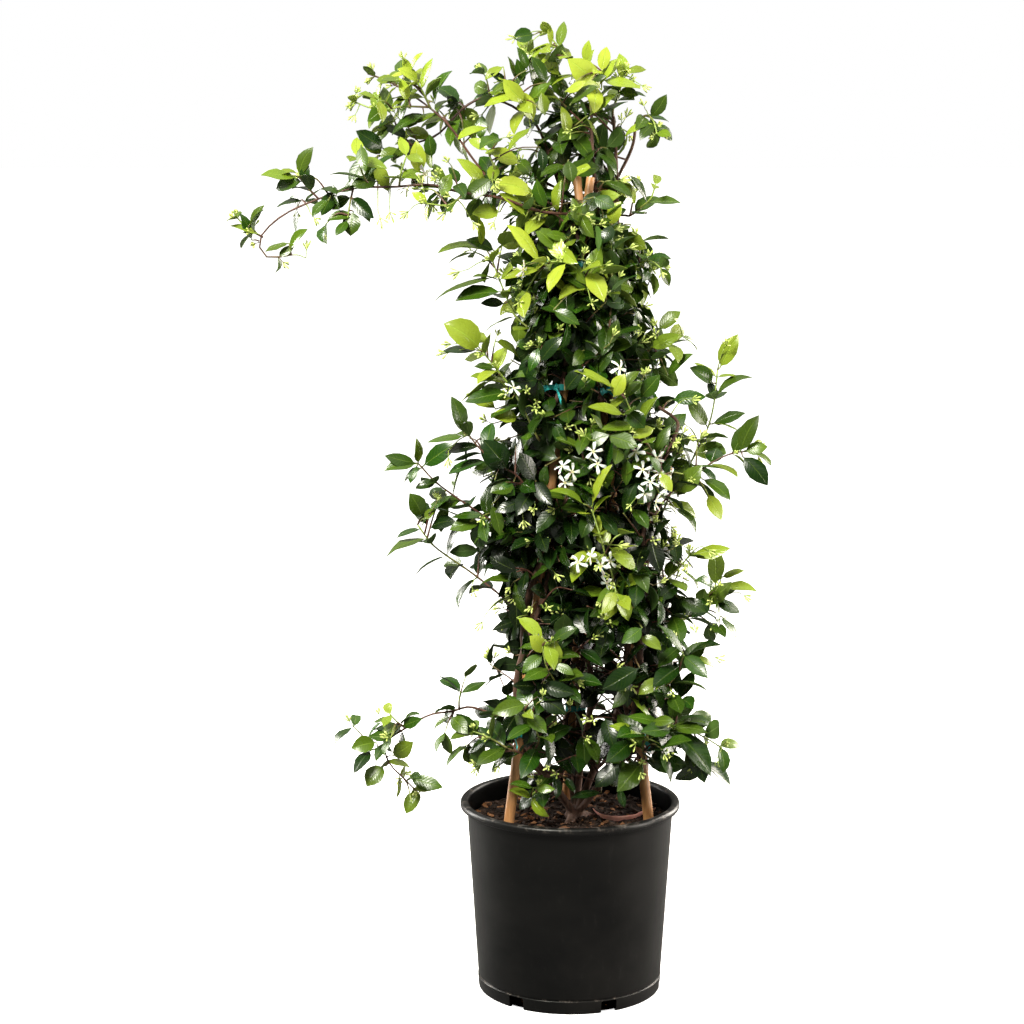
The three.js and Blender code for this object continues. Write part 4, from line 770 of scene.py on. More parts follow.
grows("far_left", 6, 52, (-70, -48, 632), (-98, -36, 652), (-126, -32, 670), (-156, -30, 690),
      (-182, -30, 710), (-204, -30, 734), brown=True, age=0.35, spacing=80)
grows("lower_left", 6, 54, (-80, -40, 545), (-104, -26, 562), (-135, -20, 585), (-165, -20, 606),
      (-187, -22, 624), (-206, -22, 650), age=0.2, spacing=60)
grows("arm_low", 10, 42, (-96, -66, 398), (-135, -66, 410), (-160, -70, 405), (-190, -70, 400),
      (-225, -70, 380), (-249, -70, 360), (-244, -70, 334), (-222, -70, 310), (-205, -70, 292),
      brown=True, bare=0.14, skip=[1, 3, 4], radius=1.8, buds=True, age=0.42, spacing=75)
grows("arm_low_end", 1, 42, (-249, -70, 358), (-262, -72, 354), (-270, -74, 352), on="arm_low")
grows("arm_low_rise", 2, 38, (-222, -70, 382), (-232, -78, 392), (-242, -82, 404), on="arm_low")
grows("arm_low_top", 1, 44, (-150, -69, 408), (-150, -76, 420), (-148, -80, 434), on="arm_low")
grows("skirt_left", 4, 56, (-62, -82, 350), (-84, -94, 360), (-108, -92, 374), (-132, -86, 382),
      buds=True, age=0.25)
grows("skirt_pot", 2, 54, (-34, -44, 288), (-48, -58, 290), (-54, -68, 286), bare=0.5)
grows("upper_right", 4, 46, (70, 4, 985), (88, -8, 998), (104, -16, 1002), (118, -22, 992), buds=True)
grows("top_shoulder", 3, 46, (78, 20, 1060), (92, 6, 1072), (104, -2, 1084), (110, -8, 1104), spacing=90)
grows("shoulder_right", 4, 50, (92, 2, 874), (112, -6, 888), (130, -12, 894), (148, -16, 904))
grows("reach_up", 7, 52, (112, -20, 640), (134, -6, 690), (160, 0, 730), (180, 0, 770), (190, 0, 806),
      (195, 0, 856), bare=0.3, age=0.5, spacing=80)
grows("reach_far", 5, 56, (110, -66, 672), (132, -56, 700), (168, -44, 724), (188, -40, 738),
      (216, -40, 750), (250, -40, 752), brown=True, bare=0.3, buds=True, age=0.4, spacing=80)
grows("front_right", 5, 50, (116, -78, 742), (102, -90, 762), (84, -96, 796), (66, -98, 834),
      blooms=[[0, -100]])
grows("bloom_right", 2, 46, (98, -80, 700), (106, -94, 716), (116, -100, 734), on="front_right",
      blooms=[[0, -120], [1, -60]])
grows("middle_right", 5, 54, (92, -34, 535), (124, -32, 574), (144, -30, 592), (160, -30, 612), buds=True,
      age=0.35)
grows("low_right", 5, 54, (106, -18, 490), (132, -4, 508), (158, 0, 518), (178, 0, 532), (196, 0, 546),
      buds=True, age=0.3)
grows("bottom_right", 4, 60, (104, -50, 420), (126, -60, 436), (146, -62, 460), (162, -62, 482), age=0.25)
grows("skirt_right", 5, 64, (118, -50, 352), (130, -58, 372), (152, -66, 380), (178, -72, 370),
      (202, -76, 356), buds=True, age=0.25)
grows("skirt_front", 4, 64, (98, -66, 336), (96, -84, 360), (104, -94, 386), (106, -98, 402), age=0.3)
grows("front_bright", 5, 52, (46, -52, 560), (54, -84, 586), (44, -98, 620), (34, -104, 655),
      (24, -108, 686), bare=0.3, blooms=[[1, -120], [2, -75]], age=0.75)
grows("front_left", 4, 56, (-36, -62, 425), (-22, -88, 446), (-34, -100, 474), (-40, -104, 502), bare=0.3,
      age=0.25)
grows("front_low", 4, 54, (-50, -70, 350), (-44, -90, 372), (-54, -100, 398), (-64, -104, 414), age=0.35)
grows("bloom_front", 5, 50, (-14, -66, 676), (-8, -86, 700), (4, -96, 736), (28, -100, 764),
      (44, -100, 790), bare=0.3, blooms=[[1, -120], [3, -80]])
CLIMBERS = [(296, 62), (345, 135), (440, 100), (520, 40), (590, 150), (690, 96), (862, -80), (850, 60),
            (900, 150)]
CLIMBER_RISES = [16, 60, 125, 190]
CLIMBER_REACHES = [0.72, 0.98, 1.04, 1.02]
CLIMBER_TURN = 9
CLIMBER_AGE = 0.2
COLUMN_LOW = {"z": 700, "x": 42, "radius": 104}
COLUMN_HIGH = {"z": 1100, "x": 8, "radius": 56}
COLUMN_Y = 4


def column_at(z):
    """The middle and the radius of the leafy column at a height, in millimetres."""
    share = min(max((z - COLUMN_LOW["z"]) / (COLUMN_HIGH["z"] - COLUMN_LOW["z"]), 0), 1)
    return [COLUMN_LOW[key] + (COLUMN_HIGH[key] - COLUMN_LOW[key]) * share for key in ("x", "radius")]


for number, (z, bearing) in enumerate(CLIMBERS, 1):
    route = []
    for k, (rise, share) in enumerate(zip(CLIMBER_RISES, CLIMBER_REACHES)):
        x, radius = column_at(z + rise)
        angle = math.radians(bearing + CLIMBER_TURN * k)
        reach = radius * share
        route.append((x + reach * math.cos(angle), COLUMN_Y + reach * math.sin(angle), z + rise))
    grows(f"climber_{number}", 7, 56, *route, bare=0.2, age=CLIMBER_AGE)

SHOOT_HEEL = 11 * MM
SHOOT_BARE = 0.3
LONG_BARE = 0.2
LAST_PAIR = 0.965
ONLY_PAIR = 0.93
SHOOT_SPREAD = 40
SHOOT_RADIUS = 1.6 * MM
SHOOT_TIP_RADIUS = 1.0 * MM
ROUTE_STEPS = 60


def draw(a, b, c, d):
    """A fixed number from 0 to 1 for each set of whole numbers, so the plant always grows the same."""
    def times(x, y):
        return (x * y) & 0xFFFFFFFF

    h = times(a + 1, 374761393) ^ times(b + 1, 668265263)
    h ^= times(c + 1, 1274126177) ^ times(d + 1, 461845907)
    h = times(h ^ (h >> 15), 2246822519)
    h = times(h ^ (h >> 13), 3266489917)
    return (h ^ (h >> 16)) / 4294967296


def frames_along(points):
    """Point, tangent, normal and side at each point of a row, carried along it without twist."""
    frames = []
    normal = None
    last = len(points) - 1
    for i, point in enumerate(points):
        tangent = (points[min(i + 1, last)] - points[max(i - 1, 0)]).normalized()
        if normal is None:
            normal = tangent.cross(Vector((1, 0, 0)) if abs(tangent.z) > 0.9 else UP)
        normal = (normal - tangent * normal.dot(tangent)).normalized()
        frames.append((point, tangent, normal, tangent.cross(normal)))
    return frames


def nearest_on(points, target):
    """Where a chain of straight lengths comes nearest to a point: distance, step, point, tangent."""
    found = []
    for i, (a, b) in enumerate(zip(points, points[1:])):
        along = b - a
        t = min(max((target - a).dot(along) / along.length_squared, 0), 1)
        point = a + along * t
        found.append(((point - target).length, i + t, point, along.normalized()))
    return min(found, key=lambda one: one[0])


def lay_out(shoot, index):
    """Fills in a shoot's line, the rings of its stem and the places of its leaf pairs."""
    parent = next((one for one in SHOOTS if one["name"] == shoot.get("on")), None)
    route = in_metres(shoot["route"])
    trunks = [parent["path"]] if parent else [stem["points"] for stem in WOOD]
    starts = [nearest_on(points, route[0]) for points in trunks]
    chosen = min(range(len(starts)), key=lambda i: starts[i][0])
    _, step, start, tangent = starts[chosen]
    away = route[0] - start
    away -= tangent * away.dot(tangent)
    at_end = step < 0.01 or step > len(trunks[chosen]) - 1.01
    controls = [start]
    if not parent and not at_end:
        controls.append(start + away.normalized() * SHOOT_HEEL)
    controls += route[1:] if parent else route
    first = shoot.get("bare", SHOOT_BARE)
    fine = smooth_route(controls, ROUTE_STEPS)

    def pick(share):
        place = share * ROUTE_STEPS
        low = min(int(place), ROUTE_STEPS - 1)
        return fine[low].lerp(fine[low + 1], place - low)

    shares = tapered(first, LAST_PAIR, shoot["pairs"]) if shoot["pairs"] > 1 else [ONLY_PAIR]
    path = [pick(0)] + [pick(s) for s in shares] + [pick(1)]
    if first > LONG_BARE:
        path.insert(1, pick(first / 2))
    shoot.update(index=index, parent=parent, path=path, line=fine, shares=shares,
                 first_pair=2 if first > LONG_BARE else 1, frames=frames_along(path),
                 habit=SHOOT_SPREAD * draw(index, 0, 0, 9),
                 stem=shoot["radius"] * MM if "radius" in shoot else SHOOT_RADIUS)


for index, shoot in enumerate(SHOOTS):
    lay_out(shoot, index)

TURNS = [0, 24, -24, 0, 0, 48, -48, 20, -20]
LIFTS = [0, 0, 0, 0.45, -0.45, 0.2, 0.2, -0.6, 0.6]
SIZES = [1, 1, 1, 0.95, 0.95, 0.85, 0.85, 0.75, 0.75]
LEAF_SPREAD = 24
LEAF_FORWARD, LEAF_FORWARD_SPREAD = 22, 26
LEAF_RISE_SPREAD, LEAF_RISE_CENTRE = 0.5, 0.55
LEAF_ROLL = 56
FACE_TO_FRONT = 0.35
FACE_ALONG_STEM = 0.8
TIP_SHRINK = 0.32


def leaf_plan(shoot, pair, side, attempt):
    """Where a leaf sits and how it lies: its root, its way out, its upper face and its sizes."""
    point, tangent, normal, across = shoot["frames"][shoot["first_pair"] + pair]

    def chance(salt):
        return draw(shoot["index"], pair, side, salt)

    spread = LEAF_SPREAD * (chance(1) - 0.5)
    turn = math.radians(shoot["habit"] + 90 * (pair + 2 * side) + spread + TURNS[attempt])
    forward = math.radians(LEAF_FORWARD + LEAF_FORWARD_SPREAD * chance(2))
    along = swung(forward, swung(turn, normal, across), tangent)
    along.z += LIFTS[attempt] + LEAF_RISE_SPREAD * (chance(3) - LEAF_RISE_CENTRE)
    along.normalize()
    face = tangent * FACE_ALONG_STEM + UP
    face.y -= FACE_TO_FRONT
    face = (face - along * face.dot(along)).normalized()
    face.rotate(Quaternion(along, math.radians(LEAF_ROLL * (chance(4) - 0.5))))
    young = pair / max(shoot["pairs"] - 1, 1)
    growth = (1 - TIP_SHRINK * young ** 3) * (0.86 + 0.2 * chance(5))
    length = shoot["leaf"] * MM * SIZES[attempt] * growth
    return {"root": point, "along": along, "face": face, "length": length, "young": young,
            "width": length * (0.4 + 0.1 * chance(6)), "curl": 0.15 + 0.75 * chance(7)}


def leaf_point(leaf, t):
    """A point of the arc that the midrib bends through."""
    bend = leaf["curl"] * t
    out = leaf["along"] * math.sin(bend) - leaf["face"] * (1 - math.cos(bend))
    return leaf["root"] + out * (leaf["length"] / leaf["curl"])


def corners_of(node):
    """Finds the corners of one of the frame's solids by place."""
    verts = frame["nodes"][node].data.vertices
    tree = KDTree(len(verts))
    for v in verts:
        tree.insert(v.co, v.index)
    tree.balance()
    return tree


FOUND = 0.15 * MM
BUD_PAIRS = 2
BUD_ATTEMPTS = 4
BUD_LENGTH = 16 * MM


def bud_plan(shoot, pair, bud, attempt):
    """Where a bud cluster stands, its way out and its length."""
    point, tangent, normal, across = shoot["frames"][shoot["first_pair"] + pair]
    face = (pair + 1 + 2 * bud) % 4

    def chance(salt):
        return draw(shoot["index"], pair, bud, salt)

    turn = math.radians(shoot["habit"] + 90 * face + 50 * (chance(20 + attempt) - 0.5))
    way = swung(turn, normal, across) + tangent * (0.4 + 1.0 * chance(30 + attempt))
    return {"root": point, "way": way.normalized(), "length": BUD_LENGTH * (0.8 + 0.5 * chance(40))}


def first_found(corners, plans, tip):
    """The first of some plans whose tip is a corner of the solid, in a list, or an empty list."""
    for plan in plans:
        if corners.find(tip(plan))[2] < FOUND:
            return [plan]
    return []


def leaves_and_buds(shoot, corners):
    """The leaves and bud clusters of a shoot that its solid has: their tips are corners of it."""
    leaves, buds = [], []
    for pair in range(shoot["pairs"]):
        for side in (0, 1):
            if pair not in shoot.get("skip", ()):
                plans = (leaf_plan(shoot, pair, side, attempt) for attempt in range(len(TURNS)))
                leaves += first_found(corners, plans, lambda leaf: leaf_point(leaf, 1))
            if shoot.get("buds") and pair >= shoot["pairs"] - BUD_PAIRS:
                plans = (bud_plan(shoot, pair, side, attempt) for attempt in range(BUD_ATTEMPTS))
                buds += first_found(corners, plans, lambda bud: bud["root"] + bud["way"] * bud["length"])
    return leaves, buds


# A leaf blade: rows of points from the stalk to the drawn-out tip, an upper and a lower face.
LEAF_THICKNESS = 0.5 * MM
STALK_SHARE = 0.07
STALK_HALF = 0.7 * MM
MIDRIB_DROP = 0.5 * MM
LEAF_ROWS = [0, 0.07, 0.19, 0.36, 0.56, 0.76, 0.9, 1.0]
SMALL_LEAF_ROWS = [0, 0.07, 0.2, 0.42, 0.66, 0.86, 1.0]


def leaf_template(name, columns, rows):
    """One leaf in its own measure: x across from -1 to 1, y along from 0 to 1, z 1 above, 0 below."""
    bm = bmesh.new()
    bmesh.ops.create_grid(bm, x_segments=columns, y_segments=len(rows) - 1, size=1.0)
    bmesh.ops.solidify(bm, geom=bm.faces[:], thickness=1.0)
    lowest = min(v.co.z for v in bm.verts)
    for v in bm.verts:
        v.co = (v.co.x, rows[round((v.co.y + 1) / 2 * (len(rows) - 1))], v.co.z - lowest)
    bmesh.ops.recalc_face_normals(bm, faces=bm.faces)
    uv = bm.loops.layers.uv.new("UVMap")
    for face in bm.faces:
        face.material_index = 1 if face.normal.z < -0.5 else 0
        for loop in face.loops:
            loop[uv].uv = ((loop.vert.co.x + 1) / 2, loop.vert.co.y)
    for edge in bm.edges:
        edge.smooth = edge.calc_face_angle(0) < 1.0
    return mesh_from(bm, name)


LEAF = leaf_template("Leaf", 4, LEAF_ROWS)
SMALL_LEAF = leaf_template("Small leaf", 2, SMALL_LEAF_ROWS)


def leaf_shapes(leaves, unit, rng):
    """The points of all the leaves, from the points of their template."""
    s, t, level = (unit[:, k][None, :, None] for k in range(3))
    column = {key: np.array([leaf[key] for leaf in leaves], float)[:, None, None]
              for key in ("length", "width", "curl")}
    root, along, face = (np.array([tuple(leaf[key]) for leaf in leaves])[:, None, :]
                         for key in ("root", "along", "face"))
    count = (len(leaves), 1, 1)
    fold = rng.uniform(0.08, 0.62, count)
    wave = rng.uniform(0.0, 0.14, count)
    phase = rng.uniform(0, 2 * math.pi, count)
    twist = rng.normal(0, 0.22, count)
    hook = rng.uniform(0.0, 0.12, count)
    lean = rng.normal(0, 0.03, count)
    blade = np.clip((t - STALK_SHARE) / (1 - STALK_SHARE), 0, 1)
    outline = np.sin(math.pi * blade ** 0.95) ** (0.62 + 0.38 * blade)
    half = column["width"] / 2 * outline + STALK_HALF * (1 - blade) ** 2 + 0.12 * MM
    bend = column["curl"] * t
    arm = column["length"] / column["curl"]
    normal = face * np.cos(bend) + along * np.sin(bend)
    across = np.cross(along, face)
    sideways = across * np.cos(twist * t) + normal * np.sin(twist * t)
    upright = np.cross(sideways, along * np.cos(bend) - face * np.sin(bend))
    rise = half * (fold * np.abs(s) - 0.22 * s ** 2)
    rise = rise + half * wave * np.abs(s) * np.sin(9 * t + phase + s)
    rise = rise - column["length"] * hook * np.clip(t - 0.6, 0, 1) ** 2 * 4 - MIDRIB_DROP
    rise = rise + (level - 0.5) * LEAF_THICKNESS
    points = root + along * arm * np.sin(bend) - face * arm * (1 - np.cos(bend))
    points = points + across * column["length"] * lean * np.sin(math.pi * t)
    return points + sideways * half * s + upright * rise


def vein_group():
    """Masks of a leaf from its own map: the midrib and side veins, and a height for its relief."""
    group = bpy.data.node_groups.new("Leaf veins", "ShaderNodeTree")
    for way, names in (("INPUT", ("Across", "Along")), ("OUTPUT", ("Veins", "Height"))):
        for name in names:
            group.interface.new_socket(name, in_out=way, socket_type="NodeSocketFloat")
    made = Nodes(group)
    source = made.node("NodeGroupInput").outputs
    off = made.math("ABSOLUTE", made.math("SUBTRACT", source["Across"], 0.5))
    midrib = made.ramp(off, 0.012, 0.05, 1.0, 0.0, "SMOOTHSTEP")
    slant = made.math("MULTIPLY_ADD", off, -0.42, source["Along"])
    wave = made.math("SINE", made.math("MULTIPLY", slant, 58.0))
    side_veins = made.ramp(wave, 0.88, 1.0, 0.0, 1.0, "SMOOTHSTEP")
    fading = made.ramp(off, 0.3, 0.5, 1.0, 0.15, "SMOOTHSTEP")
    side_veins = made.math("MULTIPLY", side_veins, fading)
    quilt = made.math("MULTIPLY", made.math("ADD", wave, 1.0), -0.07)
    veins = made.math("MAXIMUM", midrib, made.math("MULTIPLY", side_veins, 0.4))
    made.node("NodeGroupOutput", Veins=veins, Height=made.math("SUBTRACT", quilt, midrib))
    return group


VEINS = vein_group()


def leaf_finish(name, dark, middle, fresh, vein_colour, vein_strength, gloss, shine):
    """A leaf's skin: its colour goes by age from old to new, and no two leaves are quite alike.
    The near-black old colour is partly painted shade, and the bright new colour partly painted light.
    """
    skin = Finish(name, Specular_IOR_Level=shine)
    place = skin.node("ShaderNodeSeparateXYZ", i0=skin.node("ShaderNodeTexCoord").outputs["UV"]).outputs
    veins = skin.node("ShaderNodeGroup", {"node_tree": VEINS}, Across=place["X"], Along=place["Y"])
    age, tint = skin.attribute("age"), skin.attribute("tint")
    colour = skin.shades(age, 0.5, 1.0, skin.shades(age, 0.0, 0.5, dark, middle), fresh)
    blotch = skin.blend(0.5, colour, dark)
    colour = skin.shades(skin.speckle(38.0, 3.0), 0.35, 0.75, colour, blotch, 0.45)
    newness = skin.ramp(age, 0.15, 0.9)
    yellowed = skin.math("MULTIPLY", tint, skin.math("MULTIPLY", newness, 0.3))
    colour = skin.blend(yellowed, colour, rgb(0.42, 0.42, 0.05))
    vein_share = skin.math("ADD", skin.math("MULTIPLY", newness, 0.8), 0.2)
    vein_share = skin.math("MULTIPLY", vein_share, vein_strength)
    vein_share = skin.math("MULTIPLY", veins.outputs["Veins"], vein_share)
    skin.sets(Base_Color=skin.blend(vein_share, colour, vein_colour),
              Roughness=skin.ramp(skin.speckle(50.0, 3.0), 0.3, 0.7, *gloss))
    skin.bump(veins.outputs["Height"], 0.0007, 0.6)
    return skin


# The upper face's old colour, near black, serves as painted shade inside the column.
upper_skin = leaf_finish("Leaf upper face", rgb(0.003, 0.008, 0.002), rgb(0.018, 0.075, 0.003),
                         rgb(0.31, 0.42, 0.03), rgb(0.3, 0.45, 0.05), 0.4, (0.2, 0.34), 0.42)
lower_skin = leaf_finish("Leaf underside", rgb(0.02, 0.045, 0.012), rgb(0.07, 0.15, 0.025),
                         rgb(0.34, 0.46, 0.07), rgb(0.32, 0.42, 0.14), 0.6, (0.5, 0.66), 0.3)
twig_skin = Finish("Green twig", Roughness=0.5)
grain = twig_skin.speckle(140.0, 4.0, 0.6)
ripe = twig_skin.shades(grain, 0.35, 0.7, rgb(0.05, 0.019, 0.013), rgb(0.13, 0.052, 0.032))
soft = twig_skin.shades(grain, 0.35, 0.7, rgb(0.19, 0.28, 0.04), rgb(0.32, 0.42, 0.08))
twig_skin.sets(Base_Color=twig_skin.shades(twig_skin.attribute("age"), 0.25, 0.7, ripe, soft))
twig_skin.bump(grain, 0.0006, 0.6)
bud_skin = Finish("Flower bud", Roughness=0.45)
cloud = bud_skin.speckle(160.0, 3.0)
colour = bud_skin.blend(bud_skin.attribute("age"), rgb(0.34, 0.47, 0.06), rgb(0.68, 0.75, 0.25))
bud_skin.sets(Base_Color=bud_skin.shades(cloud, 0.4, 0.8, colour, rgb(0.3, 0.42, 0.09), 0.35))
bud_skin.bump(cloud, 0.0004, 0.5)
SKINS = (upper_skin.material, lower_skin.material, twig_skin.material, bud_skin.material)
TWIG, BUD = 2, 3
TWIG_SIDES = 6

# A bud: a slim club, narrow at its stalk and pointed at its tip, unit long along z.
bm = bmesh.new()
turned(bm, [(0, 0), (0.4, 0.0), (0.42, 0.16), (0.85, 0.5), (1.0, 0.68), (0.62, 0.86), (0, 1)], 6)
for face in bm.faces:
    face.material_index = BUD
bud_template = mesh_from(bm, "Bud")
CYME_BUDS = 5
CYME_STALK = 0.42
CYME_SPREAD = 0.75


def cyme_parts(cyme, rng):
    """The stalks of a bud cluster, as routes and radii, and its buds, as places and sizes."""
    root, way, length = cyme["root"], cyme["way"], cyme["length"]
    fork = root + way * length * CYME_STALK
    stalks = [([root, root.lerp(fork, 0.6) + UP * 0.2 * MM, fork], [0.6 * MM, 0.5 * MM, 0.45 * MM])]
    buds = []
    _, _, normal, side = frames_along([root, fork])[0]
    for k in range(CYME_BUDS):
        angle = 2 * math.pi * (k + rng.uniform(0, 0.5)) / (CYME_BUDS - 1)
        spread = 0.08 if k == 0 else CYME_SPREAD * rng.uniform(0.6, 1.1)
        heading = (way + swung(angle, normal, side) * spread + UP * 0.1).normalized()
        base = fork + heading * length * rng.uniform(0.06, 0.18)
        reach = length * (0.54 if k == 0 else rng.uniform(0.36, 0.5))
        stalks.append(([fork, fork.lerp(base, 0.5), base], [0.45 * MM, 0.4 * MM, 0.4 * MM]))
        buds.append((base, heading, reach, rng.uniform(1.15, 1.55) * MM))
    return stalks, buds


def twig_route(line, stem, rings):
    """A shoot's stem as a route and radii: it tapers, and swells a little at each leaf pair."""
    points = line[::2]
    shares = np.linspace(0, 1, len(points))
    radii = stem + (SHOOT_TIP_RADIUS - stem) * shares
    for share in rings:
        radii = radii * (1 + 0.22 * np.exp(-((shares - share) / 0.018) ** 2))
    return points, list(radii)


def foliage(name, leaves, cymes, twigs, template, seed):
    """One mesh of leaves, twigs and bud clusters. Twigs come as route, radii and age at each end."""
    rng = np.random.default_rng(seed)
    routes = [(points, radii) for points, radii, _, _ in twigs]
    knot_ages = []
    knots = KDTree(sum(len(points) for points, _ in routes))
    for points, _, first, last in twigs:
        for point, age in zip(points, tapered(first, last, len(points))):
            knots.insert(point, len(knot_ages))
            knot_ages.append(age)
    knots.balance()
    buds = []
    for cyme in cymes:
        stalks, more = cyme_parts(cyme, rng)
        routes += stalks
        buds += more
    bm = bmesh.new()
    leaf_unit = add_copies(bm, template, len(leaves))
    bud_unit = add_copies(bm, bud_template, len(buds))
    bud_faces = len(bm.faces)
    stem_mesh = mesh_from(tubes(name, routes, TWIG_SIDES), "Stems")
    stem_points = add_copies(bm, stem_mesh, 1)
    bpy.data.meshes.remove(stem_mesh)
    bm.faces.ensure_lookup_table()
    for face in bm.faces[bud_faces:]:
        face.material_index = TWIG
    piece = piece_from(bm, name, *SKINS)
    points = [leaf_shapes(leaves, leaf_unit, rng).reshape(-1, 3)] if leaves else []
    for base, heading, reach, radius in buds:
        _, _, normal, side = frames_along([base, base + heading])[0]
        axes = np.array([tuple(normal * radius), tuple(side * radius), tuple(heading * reach)])
        points.append(bud_unit @ axes + np.array(tuple(base)))
    place_points(piece, np.concatenate(points + [stem_points]))
    age = np.concatenate([np.repeat([leaf["age"] for leaf in leaves], len(leaf_unit)),
                          np.repeat(rng.uniform(0.2, 1.0, len(buds)), len(bud_unit)),
                          [knot_ages[knots.find(point)[1]] for point in stem_points]])
    tint = np.zeros(len(age))
    tint[:len(leaves) * len(leaf_unit)] = np.repeat(rng.uniform(0, 1, len(leaves)), len(leaf_unit))
    set_attribute(piece, "age", age)
    set_attribute(piece, "tint", tint)
    return piece


MIDDLING_AGE = 0.4
NEW_TIP = 0.35
AGE_SPREAD = 0.5
SHOOT_SEED = 100
leaf_middles = []

for index, shoot in enumerate(SHOOTS):
    if shoot["parent"]:
        continue
    node = shoot["name"]
    corners = corners_of(node)
    family = [one for one in SHOOTS if one is shoot or one["parent"] is shoot]
    leaves, cymes, twigs = [], [], []
    for one in family:
        age = one.get("age", MIDDLING_AGE)
        some, buds = leaves_and_buds(one, corners)
        for leaf in some:
            spread = AGE_SPREAD * (draw(one["index"], len(leaves), 3, 50) - 0.5)
            leaf["age"] = min(max(age + NEW_TIP * leaf["young"] ** 2 + spread - 0.1, 0), 1)
            leaf_middles.append(leaf_point(leaf, 0.5))
            leaves.append(leaf)
        cymes += buds
        points, radii = twig_route(one["line"], one["stem"], one["shares"])
        ends = (0, 0.3) if one.get("brown") else (max(age - 0.35, 0), min(age + 0.45, 1))
        twigs.append((points, radii, *ends))
    piece = foliage(f"leafy_{node}", leaves, cymes, twigs, LEAF, SHOOT_SEED + index)
    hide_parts(node)


# ---- Places as the camera sees them ------------------------------------------------------------
# Single leaves, buds and flowers are placed by the pixel of the render where they show, counted
# right and down from its corner, and by how far they lie behind the middle of the pot.
CAMERA_PLACE = (-0.0794, -3.5, 1.253)
CAMERA_DROP = math.radians(9.56)
CAMERA_LENS = 92.64
CAMERA_SENSOR = 36
RENDER_PIXELS = 1024
PIXEL_SLOPE = CAMERA_SENSOR / CAMERA_LENS / RENDER_PIXELS
# The leafy column's left and right edges at some heights, in millimetres.
COLUMN_HEIGHTS = [
    262, 290, 330, 380, 435, 490, 545, 600, 655, 710, 765, 820, 870, 925, 980, 1035, 1090, 1155, 1225,
    1275]
COLUMN_LEFT = [
    -70, -90, -112, -135, -135, -132, -125, -142, -150, -155, -146, -124, -106, -98, -102, -104, -108,
    -108, -98, -62]
COLUMN_RIGHT = [
    95, 140, 170, 178, 162, 172, 186, 182, 172, 165, 160, 155, 142, 118, 110, 104, 82, 72, 62, 44]
COLUMN_DEPTH = 118 * MM
SKIN_START = -80 * MM
SKIN_SHARE = 0.96
SKIN_TURN = 0.97
SKIN_ROUNDS = 4


def column_span(z):
    """The middle and half width of the leafy column from side to side at a height."""
    left = np.interp(z / MM, COLUMN_HEIGHTS, COLUMN_LEFT) * MM
    right = np.interp(z / MM, COLUMN_HEIGHTS, COLUMN_RIGHT) * MM
    return (left + right) / 2, (right - left) / 2


def in_sight(x, y, depth):
    """The place that shows at a pixel and lies at a depth."""
    across, up = (x - RENDER_PIXELS / 2) * PIXEL_SLOPE, (RENDER_PIXELS / 2 - y) * PIXEL_SLOPE
    drop, level = math.sin(CAMERA_DROP), math.cos(CAMERA_DROP)
    reach = (depth - CAMERA_PLACE[1]) / (level + up * drop)
    return CAMERA_PLACE[0] + across * reach, depth, CAMERA_PLACE[2] + (up * level - drop) * reach


def seen(x, y, depth):
    """The place that shows at a pixel and lies at a depth, to the nearest millimetre."""
    return Vector([round(value / MM) for value in in_sight(x, y, depth)]) * MM


def skin_depth(x, y):
    """The depth of the leafy column's skin behind a pixel."""
    depth = SKIN_START
    for _ in range(SKIN_ROUNDS):
        place = in_sight(x, y, depth)
        middle, half = column_span(place[2])
        turn = min(abs(place[0] - middle) / half, SKIN_TURN)
        depth = -min(half, COLUMN_DEPTH) * math.sqrt(1 - turn * turn) * SKIN_SHARE
    return depth


